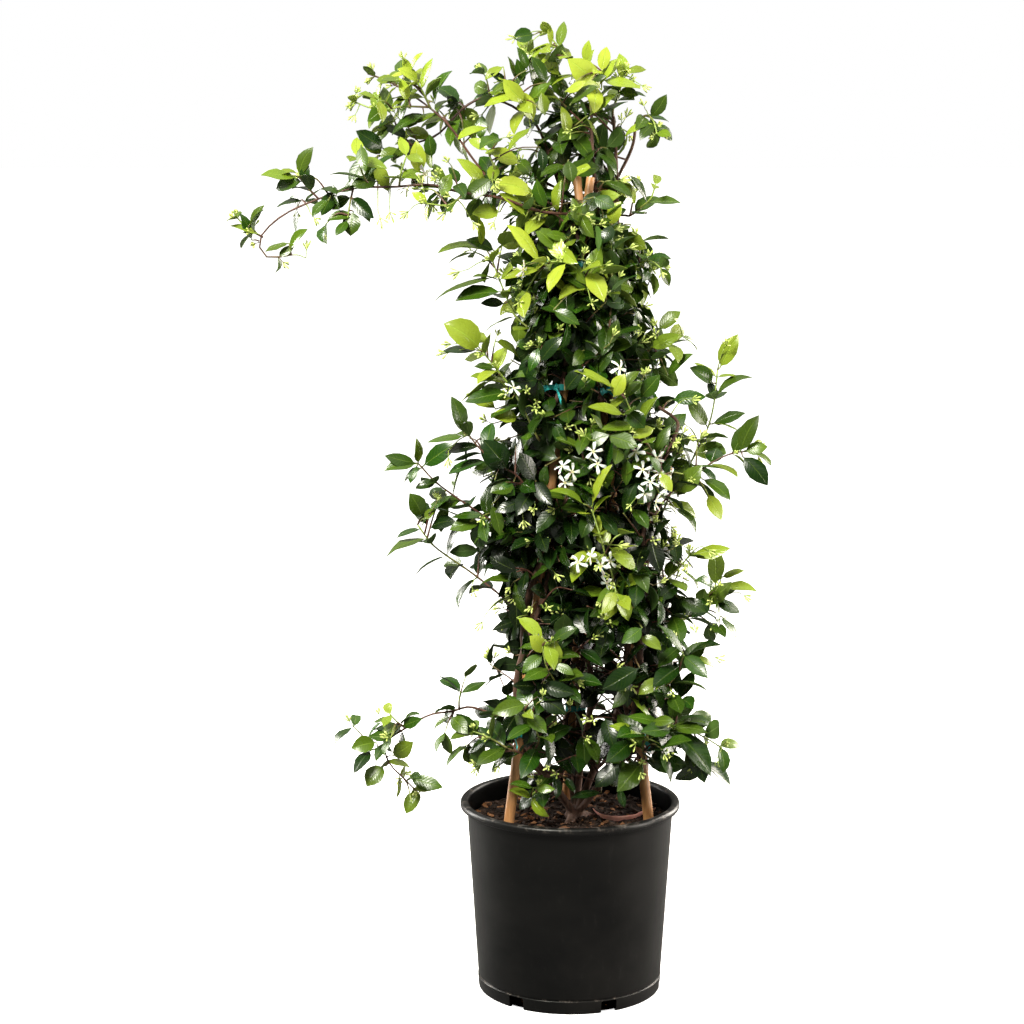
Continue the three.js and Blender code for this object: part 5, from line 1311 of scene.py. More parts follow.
# ---- Outer leaves ------------------------------------------------------------------------------
# Leaves and bud clusters that stand clear of the mass, each on a thin stalk from the nearest shoot.
# A leaf is the pixels of its root and tip, the width it shows in pixels and its age, and then the
# depths of both in millimetres, where they aren't on the skin of the column. A bud cluster, like a
# clustered flower further on, is a pixel and a depth.
OUTER_LEAVES = [
    (480, 349, 444, 322, 30, 0.78, -54, -66), (478, 350, 441, 351, 10, 0.15, -50, -56),
    (492, 252, 437, 250, 9, 0.6, -42, -60), (495, 251, 466, 238, 13, 0.2, -40, -46),
    (482, 246, 479, 217, 9, 1.0, -44, -56), (493, 277, 433, 297, 12, 0.4, -44, -60),
    (502, 292, 455, 299, 14, 0.45, -44, -62), (505, 303, 480, 303, 9, 0.1, -36, -40),
    (540, 263, 508, 224, 15, 1.0, -86, -100), (495, 368, 474, 366, 7, 0.3, -54, -58),
    (497, 378, 470, 375, 10, 0.7, -54, -66), (508, 392, 464, 400, 15, 0.35, -54, -70),
    (512, 398, 480, 393, 9, 0.6, -50, -54), (518, 417, 490, 415, 15, 0.85, -60, -76),
    (463, 433, 452, 396, 14, 0.3, -84, -92), (464, 436, 427, 441, 9, 0.5, -84, -92),
    (508, 470, 483, 440, 25, 0.12, -84, -96), (487, 461, 448, 474, 10, 0.4, -82, -94),
    (514, 482, 490, 492, 19, 0.35, -90, -102), (416, 463, 385, 455, 15, 0.3, -32, -40),
    (416, 464, 384, 469, 13, 0.5, -32, -46), (418, 464, 418, 438, 9, 0.6, -32, -44),
    (417, 466, 410, 483, 9, 0.5, -32, -44), (423, 466, 456, 443, 19, 0.4, -34, -52),
    (436, 483, 415, 488, 10, 0.2, -30, -34), (422, 516, 410, 493, 19, 0.35, -24, -36),
    (428, 538, 385, 555, 10, 0.4, -24, -40), (424, 518, 436, 509, 9, 0.6, -24, -34),
    (720, 368, 738, 334, 18, 0.8, -2, -12), (713, 383, 690, 367, 16, 0.3, 0, -14),
    (715, 398, 708, 381, 9, 0.2, 0, 6), (716, 397, 752, 376, 9, 0.35, -2, -14),
    (712, 424, 745, 411, 12, 0.25, 0, -10), (707, 427, 688, 399, 16, 0.4, -4, -16),
    (672, 400, 706, 397, 14, 0.5, -12, -28), (668, 376, 693, 353, 11, 0.5, -14, -26),
    (651, 348, 680, 335, 14, 0.7, -16, -30), (740, 452, 759, 415, 16, 0.3, -42, -52),
    (742, 456, 768, 486, 20, 0.12, -42, -56), (745, 451, 768, 446, 14, 0.6, -42, -48),
    (676, 492, 702, 465, 21, 0.55, -64, -80), (702, 479, 731, 500, 11, 0.4, -60, -72),
    (708, 494, 722, 520, 16, 0.75, -54, -66), (675, 508, 697, 532, 10, 0.4, -50, -62),
    (690, 555, 730, 548, 13, 0.8, -34, -48), (716, 586, 715, 546, 18, 0.6, -4, -16),
    (722, 577, 744, 569, 8, 0.7, -4, -10), (720, 590, 757, 589, 9, 0.7, -4, -16),
    (704, 604, 732, 582, 15, 0.5, -6, -22), (678, 563, 672, 535, 14, 0.25, -34, -42),
    (680, 600, 706, 612, 15, 0.2, -30, -46), (551, 43, 548, 20, 7, 0.9, -4, -8),
    (534, 35, 513, 38, 16, 0.3, -6, -12), (584, 62, 589, 40, 9, 0.95, -34, -40),
    (602, 90, 568, 58, 27, 0.9, -34, -50), (540, 100, 528, 57, 11, 0.6, 10, -4),
    (524, 84, 517, 59, 9, 0.3, -20, -26), (517, 80, 509, 56, 7, 0.4, -20, -24),
    (514, 81, 491, 95, 9, 0.5, -24, -34), (564, 100, 552, 65, 12, 0.5, 14, 0),
    (534, 122, 516, 90, 17, 1.0, -30, -46), (531, 127, 506, 150, 9, 0.75, -30, -46),
    (618, 92, 638, 95, 11, 0.4, 0, -8), (590, 115, 615, 94, 10, 0.85, -14, -26),
    (600, 115, 628, 101, 8, 0.4, -8, -16), (623, 138, 652, 123, 7, 0.95, -10, -18),
    (532, 194, 493, 183, 20, 0.92, -60, -76), (610, 226, 620, 201, 15, 0.9, -30, -40),
    (600, 192, 585, 213, 18, 0.25, -36, -50), (557, 213, 560, 180, 9, 0.8, -40, -46),
    (500, 212, 472, 213, 17, 0.8, -60, -72), (604, 182, 633, 197, 10, 0.3, -14, -26),
    (568, 134, 562, 106, 13, 0.7, -14, -26), (297, 178, 260, 174, 12, 0.7, -62, -78),
    (299, 176, 313, 147, 14, 0.4, -62, -70), (302, 182, 308, 165, 11, 0.2, -62, -66),
    (252, 234, 223, 225, 9, 0.85, -58, -64), (250, 224, 263, 204, 10, 0.4, -58, -66),
    (252, 240, 241, 212, 10, 0.4, -56, -62), (289, 243, 265, 250, 8, 0.5, -46, -54),
    (290, 250, 307, 229, 10, 0.6, -46, -56), (384, 149, 357, 130, 20, 0.15, -30, -46),
    (366, 155, 350, 188, 17, 0.3, -40, -54), (378, 181, 350, 186, 15, 0.3, -70, -84),
    (354, 216, 327, 220, 11, 0.5, -82, -90), (358, 200, 370, 222, 11, 0.3, -80, -90),
    (353, 211, 350, 236, 19, 0.35, -84, -94), (424, 114, 390, 134, 12, 0.4, -36, -52),
    (433, 101, 451, 70, 10, 0.5, -34, -42), (421, 90, 432, 58, 9, 0.85, -36, -44),
    (418, 80, 398, 68, 13, 0.95, -38, -50), (408, 77, 403, 57, 9, 0.95, -40, -44),
    (407, 101, 399, 78, 10, 1.0, -44, -54), (457, 109, 447, 95, 11, 0.1, 0, -8),
    (419, 173, 416, 140, 16, 0.95, -86, -96), (432, 158, 430, 135, 13, 0.4, -40, -50),
    (488, 127, 457, 138, 10, 0.95, -22, -40), (486, 188, 458, 157, 15, 0.85, -62, -78),
    (376, 742, 351, 748, 18, 0.6, -72, -84), (384, 766, 366, 786, 20, 0.5, -70, -82),
    (392, 756, 413, 742, 18, 0.6, -72, -84), (410, 778, 443, 787, 16, 0.55, -66, -80),
    (420, 791, 406, 814, 16, 0.6, -60, -72), (672, 731, 712, 776, 24, 0.2, -84, -104),
    (527, 704, 492, 713, 18, 0.5, -104, -112), (546, 652, 530, 636, 16, 0.9, -100, -110),
    (556, 668, 554, 640, 14, 0.7, -104, -112), (620, 762, 594, 787, 20, 0.04, -62, -72),
    (634, 760, 625, 786, 12, 0.04, -60, -70), (601, 792, 570, 797, 9, 0.08, -58, -68),
    (565, 777, 576, 793, 8, 0.1, -66, -76), (555, 775, 557, 800, 10, 0.12, -68, -78),
    (553, 756, 573, 774, 9, 0.1, -66, -76), (620, 788.5, 624.5, 807.5, 8, 0.1, -60, -70),
    (541, 684, 575, 693, 16, 0.06), (537, 697, 566, 714, 19, 0.05), (531, 722, 527, 748, 15, 0.08),
    (545, 730, 550, 765, 10, 0.08), (640, 668, 603, 690, 22, 0.1), (648, 741, 610, 724, 12, 0.72),
    (662, 680, 638, 694, 15, 0.6), (642, 628, 621, 643, 17, 0.45), (640, 637, 662, 650, 13, 0.55),
    (517, 618, 543, 639, 12, 0.9), (546, 640, 555, 670, 15, 0.82), (552, 640, 577, 627, 12, 0.3),
    (543, 655, 522, 673, 14, 0.55), (554, 665, 574, 675, 10, 0.5), (526, 715, 547, 733, 16, 0.55),
    (660, 722, 628, 716, 10, 0.5), (534, 788, 555, 789, 10, 0.6, -86, -96),
    (533, 788, 510, 783, 8, 0.5, -84, -94), (614, 388, 575, 369, 11, 0.75),
    (613, 397, 625, 374, 17, 0.95), (624, 415, 588, 406, 10, 0.7), (592, 505, 612, 464, 8, 0.9),
    (584, 504, 549, 490, 9, 0.7), (640, 398, 660, 375, 16, 0.4), (627, 412, 645, 428, 18, 0.3),
    (655, 428, 632, 438, 12, 0.8), (678, 497, 692, 463, 22, 0.4), (565, 390, 583, 369, 17, 0.08),
    (540, 362, 563, 336, 15, 0.12), (553, 310, 580, 325, 14, 0.35), (495, 480, 515, 495, 18, 0.45),
    (480, 438, 503, 475, 21, 0.1), (523, 500, 495, 512, 14, 0.06), (492, 505, 500, 535, 12, 0.3),
    (525, 102, 503, 79, 17, 0.93), (520, 163, 488, 149, 16, 0.8), (568, 160, 572, 182, 15, 0.3),
    (526, 216.8, 500, 192, 10, 0.95), (594, 197, 615, 207, 15.1, 0.4), (612, 225, 603, 243, 13, 0.12),
    (540, 147, 543, 172, 9, 0.1), (503, 67, 485, 79, 8, 0.75), (528, 70, 518, 47, 10, 0.5),
    (546, 82, 532, 56, 12, 0.3), (506, 80, 491, 74, 8, 0.12), (545, 115, 541, 92, 12, 0.65),
    (565, 92, 586, 80, 9, 0.9), (570, 105, 598, 85, 9, 0.35), (592, 80, 606, 76, 8, 0.25)]
OUTER_BUDS = [
    (427, 285, -60), (425, 350, -58), (424, 332, -58), (354, 98, -50), (358, 110, -50), (404, 66, -44),
    (243, 226, -60), (310, 213, -66), (306, 258, -46), (390, 206, -88), (378, 214, -90),
    (414, 206, -98), (440, 178, -90), (424, 192, -94), (469, 216, -84), (497, 216, -80),
    (447, 452, -86), (511, 392, -70), (540, 406, -96), (530, 389, -92), (512, 38, -14), (527, 47, -12),
    (645, 109, -12), (636, 82, -8), (690, 478, -82), (688, 396, -22), (725, 346, -16), (684, 546, -40),
    (746, 591, -14), (702, 546, -40), (713, 596, -16), (642, 330, -30), (655, 336, -26),
    (527, 300, -80), (690, 560, -38), (590, 300, -92), (622, 250, -60), (560, 130, -40),
    (438, 176, -92), (452, 206, -92), (676, 756, -104), (600, 560, -112), (628, 505, -104),
    (520, 520, -100), (470, 588, -60), (480, 620, -50), (698, 640, -40), (712, 655, -30),
    (560, 575, -112), (545, 610, -110), (640, 740, -106), (715, 765, -90), (500, 760, -100),
    (535, 505, -104), (610, 545, -112), (590, 440, -110)]
OUTER_SEED = 17
OUTER_MESH_SEED = 90
STALK_RISE = 0.1
BUD_REACH = 34 * MM
STALK_STEPS = 6
BOX_ROOM = 3 * MM
NARROWEST = 0.42
TIP_FORWARD = 10 * MM
TO_FRONT = Vector((0, -1, 0.25))

anchors = np.array([tuple(p) for shoot in SHOOTS for p in shoot["line"]]
                   + [tuple(p) for points, _ in wood_routes for p in points])
rng = np.random.default_rng(OUTER_SEED)


def stalk_to(end, thick, thin):
    """A thin stalk to a point from the nearest shoot, as a route and radii."""
    base = Vector(anchors[np.linalg.norm(anchors - np.array(tuple(end)), axis=1).argmin()])
    span = (end - base).length
    middle = base.lerp(end, 0.5) + UP * STALK_RISE * span
    route = smooth_route([base, middle, end], STALK_STEPS) if span > MM else [base, end + UP * MM]
    return route, list(np.linspace(thick, thin, len(route)))


box_low, box_high = cad_box


def kept_in(*points):
    """The points moved together, just far enough to lie inside the box of the solids."""
    for k in range(3):
        low, high = (pick(p[k] for p in points) for pick in (min, max))
        shift = max(box_low[k] + BOX_ROOM - low, 0) + min(box_high[k] - BOX_ROOM - high, 0)
        for point in points:
            point[k] += shift
    return points


leaves, twigs, cymes = [], [], []
for root_x, root_y, tip_x, tip_y, pixels, age, *depths in OUTER_LEAVES:
    if depths:
        depth, tip_depth = (value * MM for value in depths)
    else:
        depth = (skin_depth(root_x, root_y) + skin_depth(tip_x, tip_y)) / 2
        tip_depth = depth - TIP_FORWARD
    shown = round(pixels * PIXEL_SLOPE * (depth - CAMERA_PLACE[1]) / MM)
    root, tip = kept_in(seen(root_x, root_y, depth), seen(tip_x, tip_y, tip_depth))
    chord = (tip - root).normalized()
    span = (tip - root).length
    width = max(shown * MM, NARROWEST * span)
    share = min(shown * MM / width, 0.97)
    front = (TO_FRONT - chord * TO_FRONT.dot(chord)).normalized()
    side = chord.cross(front)
    side *= math.copysign(math.sqrt(1 - share ** 2), side.z)
    face = front * share + side
    curl = rng.uniform(0.2, 0.8)
    length = span * curl / 2 / math.sin(curl / 2)
    leaves.append({"root": root, "along": swung(curl / 2, chord, face),
                   "face": swung(curl / 2, face, -chord), "length": length,
                   "width": width, "curl": curl, "age": age})
    twigs.append((*stalk_to(root, 1.2 * MM, 0.8 * MM), 0.1, 0.3 + 0.5 * age))
for x, y, depth in OUTER_BUDS:
    fork = seen(x, y, depth * MM)
    base = stalk_to(fork, 0, 0)[0][0]
    fork = base + (fork - base) * min(1, BUD_REACH / (fork - base).length)
    route, radii = stalk_to(fork, 0.9 * MM, 0.55 * MM)
    twigs.append((route, radii, 0.5, 0.9))
    way = (fork - route[-2]).normalized() + Vector(rng.normal(0, 0.4, 3)) + Vector((0, -0.3, 0))
    way.normalize()
    length = rng.uniform(19, 28) * MM
    tip = fork + way * length
    if kept_in(tip.copy())[0] == tip:
        cymes.append({"root": fork, "way": way, "length": length})
outer_middles = [leaf_point(leaf, 0.5) for leaf in leaves]
leaf_middles += outer_middles
foliage("outer_leaves", leaves, cymes, twigs, LEAF, OUTER_MESH_SEED)


# ---- Open flowers ------------------------------------------------------------------------------
# Each flower is a slim green-white tube that opens into five white petals. They are set askew like
# a pinwheel round a pale yellow throat, and their edges roll. Most stand in loose clusters.
BLOOM_CLEARANCE = 0.35 * MM
BLOOM_RISE = 0.28
STALKS_SEED = 91
FLOWER_TUBE = 11 * MM
PETALS = 5
PETAL_LENGTH = 12.5 * MM
PETAL_WIDTH = 5.2 * MM
PETAL_THICKNESS = 0.4 * MM
PETAL_ROWS = 7
TUBE_OUTLINE = [
    (0, 0), (0.9, 0), (1.3, 1.2), (1.0, 3.0), (1.15, 6.5), (1.5, 8.6), (1.25, 10.2), (1.7, 11.0),
    (1.1, 11.1), (0.6, 10.0), (0, 9.6)]
CLUSTER_FLOWERS = [
    (562, 466, -112), (572, 472, -110), (598, 464, -112), (643, 470, -104), (650, 482, -106),
    (660, 474, -100), (667, 488, -100), (645, 493.5, -106), (578, 562, -114), (590, 556, -114),
    (601, 566, -112), (620, 368, -104), (514, 388, -84), (523, 270, -92), (407, 188, -96),
    (425, 174, -94), (636, 452, -100), (656, 501.5, -100)]

petal_skin = Finish("White petal", Roughness=0.5, Subsurface_Weight=0.15, Subsurface_Scale=0.003)
cloud = petal_skin.speckle(120.0, 3.0)
white = petal_skin.shades(cloud, 0.3, 0.7, rgb(0.86, 0.85, 0.79), rgb(0.95, 0.95, 0.92))
throat = petal_skin.ramp(petal_skin.attribute("age"), 0.0, 0.3, 1.0, 0.0)
petal_skin.sets(Base_Color=petal_skin.blend(throat, white, rgb(0.78, 0.68, 0.28)))
petal_skin.bump(cloud, 0.0004, 0.4)
tube_skin = Finish("Flower tube", Roughness=0.5)
tube_colour = tube_skin.blend(tube_skin.attribute("age"), rgb(0.22, 0.32, 0.07), rgb(0.72, 0.74, 0.5))
tube_skin.sets(Base_Color=tube_colour)
tube_skin.bump(tube_skin.speckle(150.0, 3.0), 0.0003, 0.4)


def flower_mesh(name, tilt, droop):
    """A flower that stands up along z, its petals turned by a tilt and bent back by a droop."""
    bm = bmesh.new()
    age = bm.verts.layers.float.new("age")
    turned(bm, [(r * MM, z * MM) for r, z in TUBE_OUTLINE], 10)
    for v in bm.verts:
        v[age] = v.co.z / FLOWER_TUBE
    for face in bm.faces:
        face.material_index = 1
    for k in range(PETALS):
        turn = Matrix.Rotation(2 * math.pi * k / PETALS, 3, "Z") @ Matrix.Rotation(tilt, 3, "X")
        petal = bmesh.ops.create_grid(bm, x_segments=4, y_segments=PETAL_ROWS, size=1.0)["verts"]
        for v in petal:
            s, t = v.co.x, (v.co.y + 1) / 2
            half = PETAL_WIDTH / 2 * (0.24 + 0.74 * math.sin(1.45 * t ** 1.25))
            half *= 1 - max(t - 0.82, 0) * 1.9
            rise = 0.9 * MM * math.sin(3 * t) * (0.4 - s * 0.5) - droop * PETAL_LENGTH * t * t
            reach = PETAL_LENGTH * (0.04 + 0.96 * t) * (1 - 0.06 * s * t)
            v.co = turn @ Vector((reach, half * (s + 0.1 + 0.5 * t * t), rise)) + UP * FLOWER_TUBE
            v[age] = t
        faces = list({f for v in petal for f in v.link_faces})
        bmesh.ops.solidify(bm, geom=faces, thickness=PETAL_THICKNESS)
    bmesh.ops.recalc_face_normals(bm, faces=bm.faces)
    return mesh_from(bm, name)


FLOWERS = [flower_mesh("Fresh flower", 0.42, 0.1), flower_mesh("Flat flower", 0.3, 0.24),
           flower_mesh("Fading flower", 0.55, 0.45)]


def add_flower(bm, kind, start, way, turn):
    """Puts a copy of a flower into a mesh, from its foot and along its tube."""
    before = len(bm.verts)
    bm.from_mesh(FLOWERS[kind])
    bm.verts.ensure_lookup_table()
    stand = UP.rotation_difference(way).to_matrix().to_4x4() @ Matrix.Rotation(turn, 4, "Z")
    bmesh.ops.transform(bm, matrix=Matrix.Translation(start) @ stand, verts=bm.verts[before:])


bloom_number = 0
flower_places = []
for shoot in SHOOTS:
    for pair, heading in shoot.get("blooms", ()):
        bloom_number += 1
        point, tangent, _, _ = shoot["frames"][shoot["first_pair"] + pair]
        way = swung(math.radians(heading)) + UP * BLOOM_RISE
        way = (way - tangent * way.dot(tangent)).normalized()
        start = point + way * (SHOOT_RADIUS + BLOOM_CLEARANCE)
        bm = bmesh.new()
        add_flower(bm, 0, start, way, 0.9 * bloom_number)
        piece = piece_from(bm, f"open_flower_{bloom_number}", petal_skin.material, tube_skin.material)
        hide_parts(f"bloom_{bloom_number}")
        flower_places.append(start + way * FLOWER_TUBE)

stalks = []
bm = bmesh.new()
for number, (x, y, depth) in enumerate(CLUSTER_FLOWERS):
    place = seen(x, y, depth * MM)
    way = (Vector((0, -1, 0.35)) + Vector(rng.normal(0, 0.65, 3))).normalized()
    start = place - way * FLOWER_TUBE
    add_flower(bm, number % len(FLOWERS), start, way, rng.uniform(0, math.tau))
    stalks.append((*stalk_to(start, 0.8 * MM, 0.55 * MM), 0.5, 0.8))
    flower_places.append(place)
piece = piece_from(bm, "clustered_flowers", petal_skin.material, tube_skin.material)
foliage("flower_stalks", [], [], stalks, LEAF, STALKS_SEED)


# ---- Filling sprays ----------------------------------------------------------------------------
# Short side shoots fill the column between the stems and thicken the long arms. Those deep inside
# and low down carry darker leaves, partly older and partly painted shade, and those near the skin
# and the top brighter ones, partly newer and partly painted light. Those that reach the light end in
# bud clusters.
INNER_SPRAYS = 440
SPRAY_SPACING = 36 * MM
SPRAY_SEED = 7
SPRAY_PIECES = 5
SPRAY_STEPS = 24
PAIR_SPACING = 22 * MM
LEAF_ROOM = 10.5 * MM
LEAF_CEILING = 1300 * MM
LEAF_FLOOR = 256 * MM
MOST_LEAVES = 9000
SIGHT_ROOM = 19 * MM
SIGHT_DEPTH = 6 * MM
GAP_ROOM = 8 * MM
# Gaps in the leaves that light comes through, as left, right, low and high in millimetres.
SKY_GAPS = [
    (80, 115, 1240, 1280), (95, 110, 1150, 1195), (70, 90, 1045, 1075), (-120, -95, 890, 925),
    (-100, -85, 860, 880), (-135, -80, 765, 790), (160, 170, 750, 795), (-135, -120, 700, 730),
    (130, 150, 635, 655), (110, 135, 580, 605), (145, 170, 555, 590), (30, 75, 445, 470),
    (-135, -115, 410, 440), (15, 60, 390, 410), (-35, 0, 360, 400), (-130, -90, 305, 340)]


def outwardness(point):
    """How near a point is to the column's skin: 0 on its axis, 1 on the skin."""
    middle, half = column_span(point.z)
    return math.hypot((point.x - middle) / half, point.y / min(half, COLUMN_DEPTH))


def stem_at(z, rng):
    """A point on one of the old stems at a height, or none."""
    places = []
    for stem in WOOD:
        for a, b in zip(stem["points"], stem["points"][1:]):
            if min(a.z, b.z) <= z <= max(a.z, b.z) and b.z != a.z:
                places.append(a.lerp(b, (z - a.z) / (b.z - a.z)))
                break
    return places[rng.integers(len(places))] if places else None


taken = {"places": np.empty((MOST_LEAVES, 3)), "count": len(leaf_middles)}
taken["places"][:len(leaf_middles)] = [tuple(p) for p in leaf_middles]
tie_middles = [(Vector(low) + Vector(high)) / 2 for low, high in (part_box(name) for name in TIE_KNOTS)]
shown = np.array([tuple(p) for p in outer_middles + flower_places + tie_middles])


def hides(middle):
    """Whether a leaf would close a gap, or stand in front of an outer leaf, a flower or a tie."""
    for left, right, low, high in SKY_GAPS:
        beside = left * MM - GAP_ROOM < middle.x < right * MM + GAP_ROOM
        if beside and low * MM - GAP_ROOM < middle.z < high * MM + GAP_ROOM:
            return True
    gaps = np.hypot(shown[:, 0] - middle.x, shown[:, 2] - middle.z)
    return bool(((gaps < SIGHT_ROOM) & (shown[:, 1] > middle.y - SIGHT_DEPTH)).any())


def spray(base, heading, out, reach, size, age, limit, rng):
    """A side shoot: its leaves, its stem as a route with radii and ages, and its bud clusters."""
    droop = UP * rng.uniform(-0.28, 0.12) * reach
    arch = base + heading * reach * 0.5 + UP * 4 * MM
    line = smooth_route([base, arch, base + heading * reach + droop], SPRAY_STEPS)
    frames = frames_along(line)
    pairs = max(2, round(reach / PAIR_SPACING))
    habit = rng.uniform(0, 90)
    leaves = []
    for pair, share in enumerate(tapered(0.3, 0.97, pairs)):
        point, tangent, normal, across = frames[round(share * SPRAY_STEPS)]
        for side in (0, 1):
            turn = math.radians(habit + 90 * (pair + 2 * side) + rng.normal(0, 9))
            forward = math.radians(rng.uniform(20, 50))
            along = swung(turn, normal, across) * math.cos(forward)
            along += tangent * math.sin(forward) + UP * rng.uniform(-0.7, 0.2)
            along.normalize()
            face = tangent * 0.4 + UP + out * 0.5
            face = (face - along * face.dot(along)).normalized()
            face.rotate(Quaternion(along, rng.normal(0, 0.55)))
            length = size * rng.uniform(0.82, 1.06) * (1 - 0.25 * (pair / pairs) ** 2)
            leaf = {"root": point, "along": along, "face": face, "length": length,
                    "width": length * rng.uniform(0.42, 0.53), "curl": rng.uniform(0.15, 0.9)}
            middle, tip = leaf_point(leaf, 0.5), leaf_point(leaf, 1.0)
            gaps = np.linalg.norm(taken["places"][:taken["count"]] - np.array(tuple(middle)), axis=1)
            if gaps.min() < LEAF_ROOM or hides(middle) or not limit(tip, middle):
                continue
            # For the sprays inside the column this value also carries painted shade and painted light.
            leaf["age"] = float(np.clip(age(tip) + rng.normal(0, 0.08) + 0.2 * (pair / pairs) ** 2, 0, 1))
            taken["places"][taken["count"]] = tuple(middle)
            taken["count"] += 1
            leaves.append(leaf)
    cymes = []
    if leaves and outwardness(line[-1]) > 0.6:
        point, tangent, normal, across = frames[-1]
        for _ in range(rng.integers(0, 2) + rng.integers(0, 2) * rng.integers(0, 2)):
            turn = rng.uniform(0, 2 * math.pi)
            way = tangent + swung(turn, normal, across) * 0.8 + UP * 0.3
            cymes.append({"root": point, "way": way.normalized(), "length": rng.uniform(16, 24) * MM})
    radii = list(np.linspace(1.5, 0.8, len(line)) * MM)
    return leaves, (line, radii, 0.0, age(line[-1]) + 0.25), cymes


CANE_VIEW = 12 * MM
# The stretches of each cane, in millimetres up, that no filling leaf stands in front of.
CANES_SEEN = {"left": [(239, 345), (505, 562), (700, 765), (1070, 1112)],
              "right": [(239, 335), (665, 722), (760, 808), (1070, 1120)], "back": [(350, 515)]}
OPEN_FRONT = 325 * MM
LOW_LEAVES, LEAF_RANGE = 500 * MM, 600 * MM
FRONT_SPRAYS = 90
AIRY_TOP = 1060 * MM
AIRY_SHARE = 0.45
BUD_ROOM = 22 * MM
TIP_ROOM = 6 * MM
FRONT_HEIGHTS = (345, 1080)
INNER_HEIGHTS = (275, 1192)
SHORTEST_REACH, LONGEST_REACH, REACH_STEP = 30 * MM, 170 * MM, 6 * MM
LEAF_REACH = 26 * MM
PIECE_FLOOR, PIECE_HEIGHT = 262 * MM, 250 * MM
FILLING_SEED = 200


def in_column(tip, middle):
    """Whether a filling leaf stays inside the column, off the soil and out of the canes' way."""
    if outwardness(tip) > 1.06 or not LEAF_FLOOR < tip.z < LEAF_CEILING:
        return False
    if min(tip.z, middle.z) < OPEN_FRONT and middle.y < 30 * MM:
        return False
    for cane, stretches in CANES_SEEN.items():
        place = cane_point(cane, middle.z)
        in_front = middle.y < place.y and abs(middle.x - place.x) < CANE_VIEW
        if in_front and any(low < middle.z / MM < high for low, high in stretches):
            return False
    return True


def in_box(tip, _):
    """Whether a leaf on a side shoot stays inside the box of the solids."""
    inside = all(box_low[k] + TIP_ROOM < tip[k] < box_high[k] - TIP_ROOM for k in (0, 1))
    return inside and LEAF_FLOOR < tip.z < LEAF_CEILING


rng = np.random.default_rng(SPRAY_SEED)
sprays = [{"leaves": [], "twigs": [], "cymes": []} for _ in range(SPRAY_PIECES)]


def keep(group, leaves, twig, cymes):
    """Adds a spray to its group, unless it has no leaf."""
    if leaves:
        group["leaves"] += leaves
        group["twigs"].append(twig)
        group["cymes"] += cymes


for number in range(INNER_SPRAYS + FRONT_SPRAYS):
    forward = number >= INNER_SPRAYS
    base = stem_at(rng.uniform(*(FRONT_HEIGHTS if forward else INNER_HEIGHTS)) * MM, rng)
    if base is None or (base.z > AIRY_TOP and rng.uniform() < AIRY_SHARE):
        continue
    to_side = rng.uniform() < 0.8
    bearing = rng.uniform(-0.25 * math.pi, 1.25 * math.pi) if to_side else rng.uniform(0, math.tau)
    if forward:
        bearing = rng.uniform(1.25 * math.pi, 1.75 * math.pi)
    out = swung(bearing)
    heading = (out + UP * rng.uniform(-0.1, 1.0)).normalized()
    reach = SHORTEST_REACH
    while reach < LONGEST_REACH and outwardness(base + heading * (reach + LEAF_REACH)) < 0.98:
        reach += REACH_STEP
    # Painted shade and light: the age value, and so the colour, falls deep in the column and low down, and
    # rises near its skin and its top.
    height_share = min(max((base.z - LOW_LEAVES) / LEAF_RANGE, 0), 1)
    freshest_and_lit = rng.uniform(0.0, 1.0) ** 1.6 * (0.2 + 0.65 * height_share)
    top_light_and_age = 0.28 * height_share ** 2
    group = sprays[min(int((base.z - PIECE_FLOOR) / PIECE_HEIGHT), SPRAY_PIECES - 2)]
    keep(group, *spray(base, heading, out, reach * rng.uniform(0.7, 1.0), rng.uniform(42, 58) * MM,
                       lambda p: freshest_and_lit * outwardness(p) ** 3 + top_light_and_age, in_column, rng))

for shoot in SHOOTS:
    if shoot["name"].startswith("climber"):
        continue
    line = shoot["line"]
    length = sum((b - a).length for a, b in zip(line, line[1:]))
    age = shoot.get("age", MIDDLING_AGE)
    spacing = shoot["spacing"] * MM if "spacing" in shoot else SPRAY_SPACING
    for _ in range(round(length / spacing)):
        place = rng.integers(round(0.2 * ROUTE_STEPS), ROUTE_STEPS)
        base = line[place]
        tangent = (line[place + 1] - line[place - 1]).normalized()
        turn = Vector(rng.normal(0, 1, 3))
        out = (turn - tangent * turn.dot(tangent)).normalized()
        heading = (out + tangent * 0.6 + UP * 0.25).normalized()
        facing = Vector((base.x - column_span(base.z)[0], base.y, 0)).normalized()
        facing = (facing + Vector((0, -0.6, 0))).normalized()
        reach = rng.uniform(24, 52) * MM
        if in_box(base + heading * (reach + BUD_ROOM), base):
            keep(sprays[-1], *spray(base, heading, facing, reach, shoot["leaf"] * MM * 0.92,
                                    lambda p: age, in_box, rng))

for number, group in enumerate(sprays, 1):
    foliage(f"filling_sprays_{number}", group["leaves"], group["cymes"], group["twigs"], SMALL_LEAF,
            FILLING_SEED + number)


# ---- Floor, light and camera -------------------------------------------------------------------
# The pot stands on a plain white floor. A large lamp is high on the left in front, and tall soft ones
# stand at the right and behind, outside the view.
FLOOR_SIZE = 60.0
floor_paint = Finish("White floor", Roughness=0.85, Emission_Color=rgb(1, 1, 1))
looked_at = floor_paint.node("ShaderNodeLightPath").outputs["Is Camera Ray"]
floor_cloud = floor_paint.speckle(1.5, 2.0)
floor_white = floor_paint.blend(floor_cloud, rgb(0.93, 0.93, 0.93), rgb(0.95, 0.95, 0.95))
floor_paint.sets(Base_Color=floor_paint.blend(looked_at, rgb(0.1, 0.1, 0.1), floor_white),
                 Emission_Strength=floor_paint.math("MULTIPLY", looked_at, 0.8))
bm = bmesh.new()
bmesh.ops.create_grid(bm, x_segments=1, y_segments=1, size=FLOOR_SIZE / 2)
floor = set_down("Floor", mesh_from(bm, "Floor"))
floor.data.materials.append(floor_paint.material)

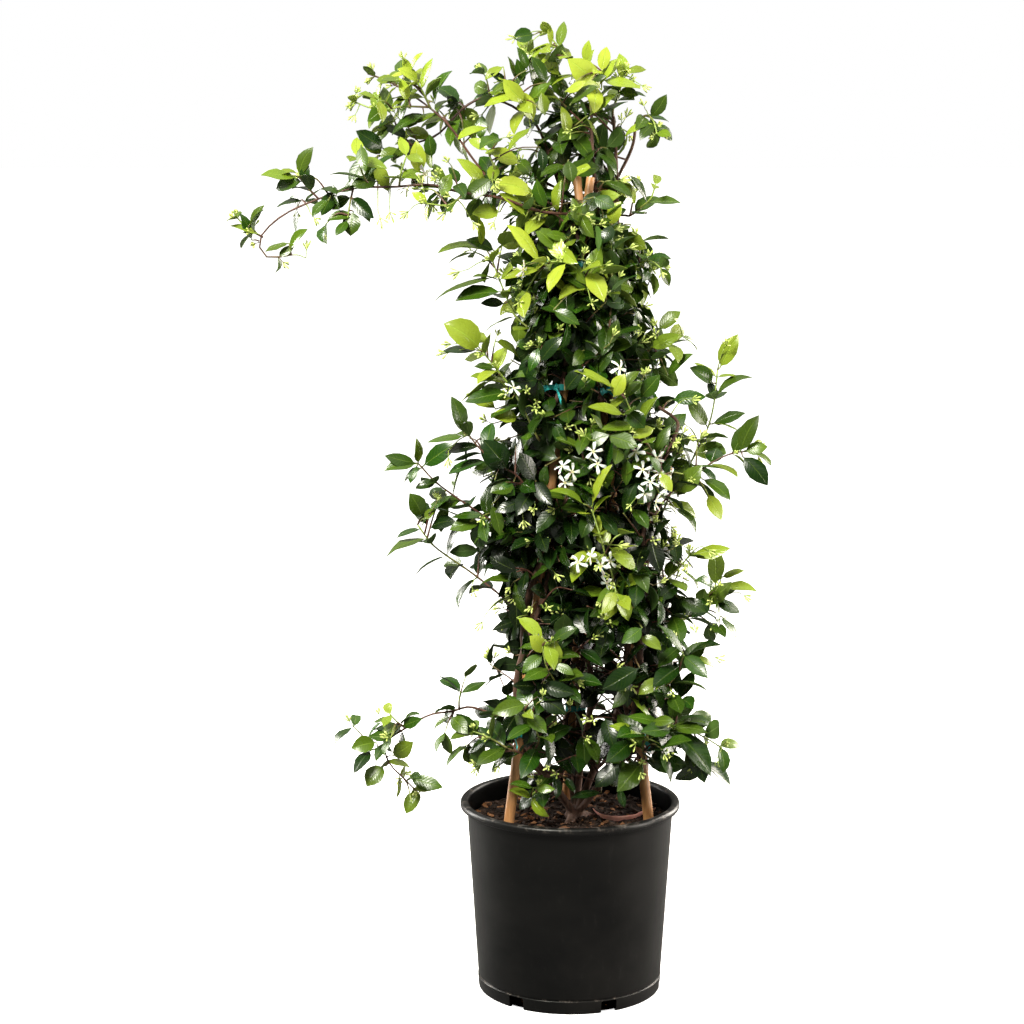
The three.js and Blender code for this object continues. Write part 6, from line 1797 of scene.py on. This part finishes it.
SKY_TOP = 0.95
SKY_SIDE = 0.12
world = bpy.data.worlds.new("Studio")
world.use_nodes = True
studio = Nodes(world.node_tree)
way_up = studio.node("ShaderNodeSeparateXYZ", i0=studio.node("ShaderNodeTexCoord").outputs["Generated"])
ceiling = studio.ramp(way_up.outputs["Z"], 0.15, 0.85, SKY_SIDE, SKY_TOP, "SMOOTHSTEP")
sky = studio.tree.nodes["Background"]
studio.feed(sky, "Color", rgb(1, 0.98, 0.88))
studio.feed(sky, "Strength", ceiling)
seen = studio.node("ShaderNodeBackground", Color=rgb(1, 1, 1), Strength=1.0)
looked_at = studio.node("ShaderNodeLightPath").outputs["Is Camera Ray"]
either = studio.node("ShaderNodeMixShader", i0=looked_at, i1=sky.outputs[0], i2=seen.outputs[0])
studio.feed(studio.tree.nodes["World Output"], "Surface", either.outputs[0])
scene.world = world


def lamp(name, place, target, width, height, power, colour):
    light = bpy.data.lights.new(name, "AREA")
    light.color = colour
    light.shape = "RECTANGLE"
    light.size, light.size_y = width, height
    light.energy = power
    holder = set_down(name, light)
    holder.location = place
    holder.rotation_euler = (Vector(target) - Vector(place)).to_track_quat("-Z", "Y").to_euler()


lamp("Key", (-1.5, -2.4, 3.2), (0, 0, 0.7), 1.1, 1.1, 290, (1, 0.98, 0.86))
lamp("Right side", (2.2, -0.5, 0.9), (0.1, 0, 0.5), 0.6, 2.0, 76, (1, 0.93, 0.84))
lamp("Right rear", (2.0, 1.6, 0.9), (0.1, 0, 0.5), 1.0, 2.2, 130, (1, 0.93, 0.84))
lamp("Left rear", (-2.2, 1.3, 0.9), (-0.1, 0, 0.5), 0.7, 2.2, 115, (1, 0.97, 0.92))

camera_lens = bpy.data.cameras.new("Camera")
camera_lens.sensor_width = CAMERA_SENSOR
camera_lens.lens = CAMERA_LENS
camera = set_down("Camera", camera_lens)
camera.location = CAMERA_PLACE
camera.rotation_euler = (math.pi / 2 - CAMERA_DROP, 0, 0)
scene.camera = camera
scene.view_settings.view_transform = "Standard"
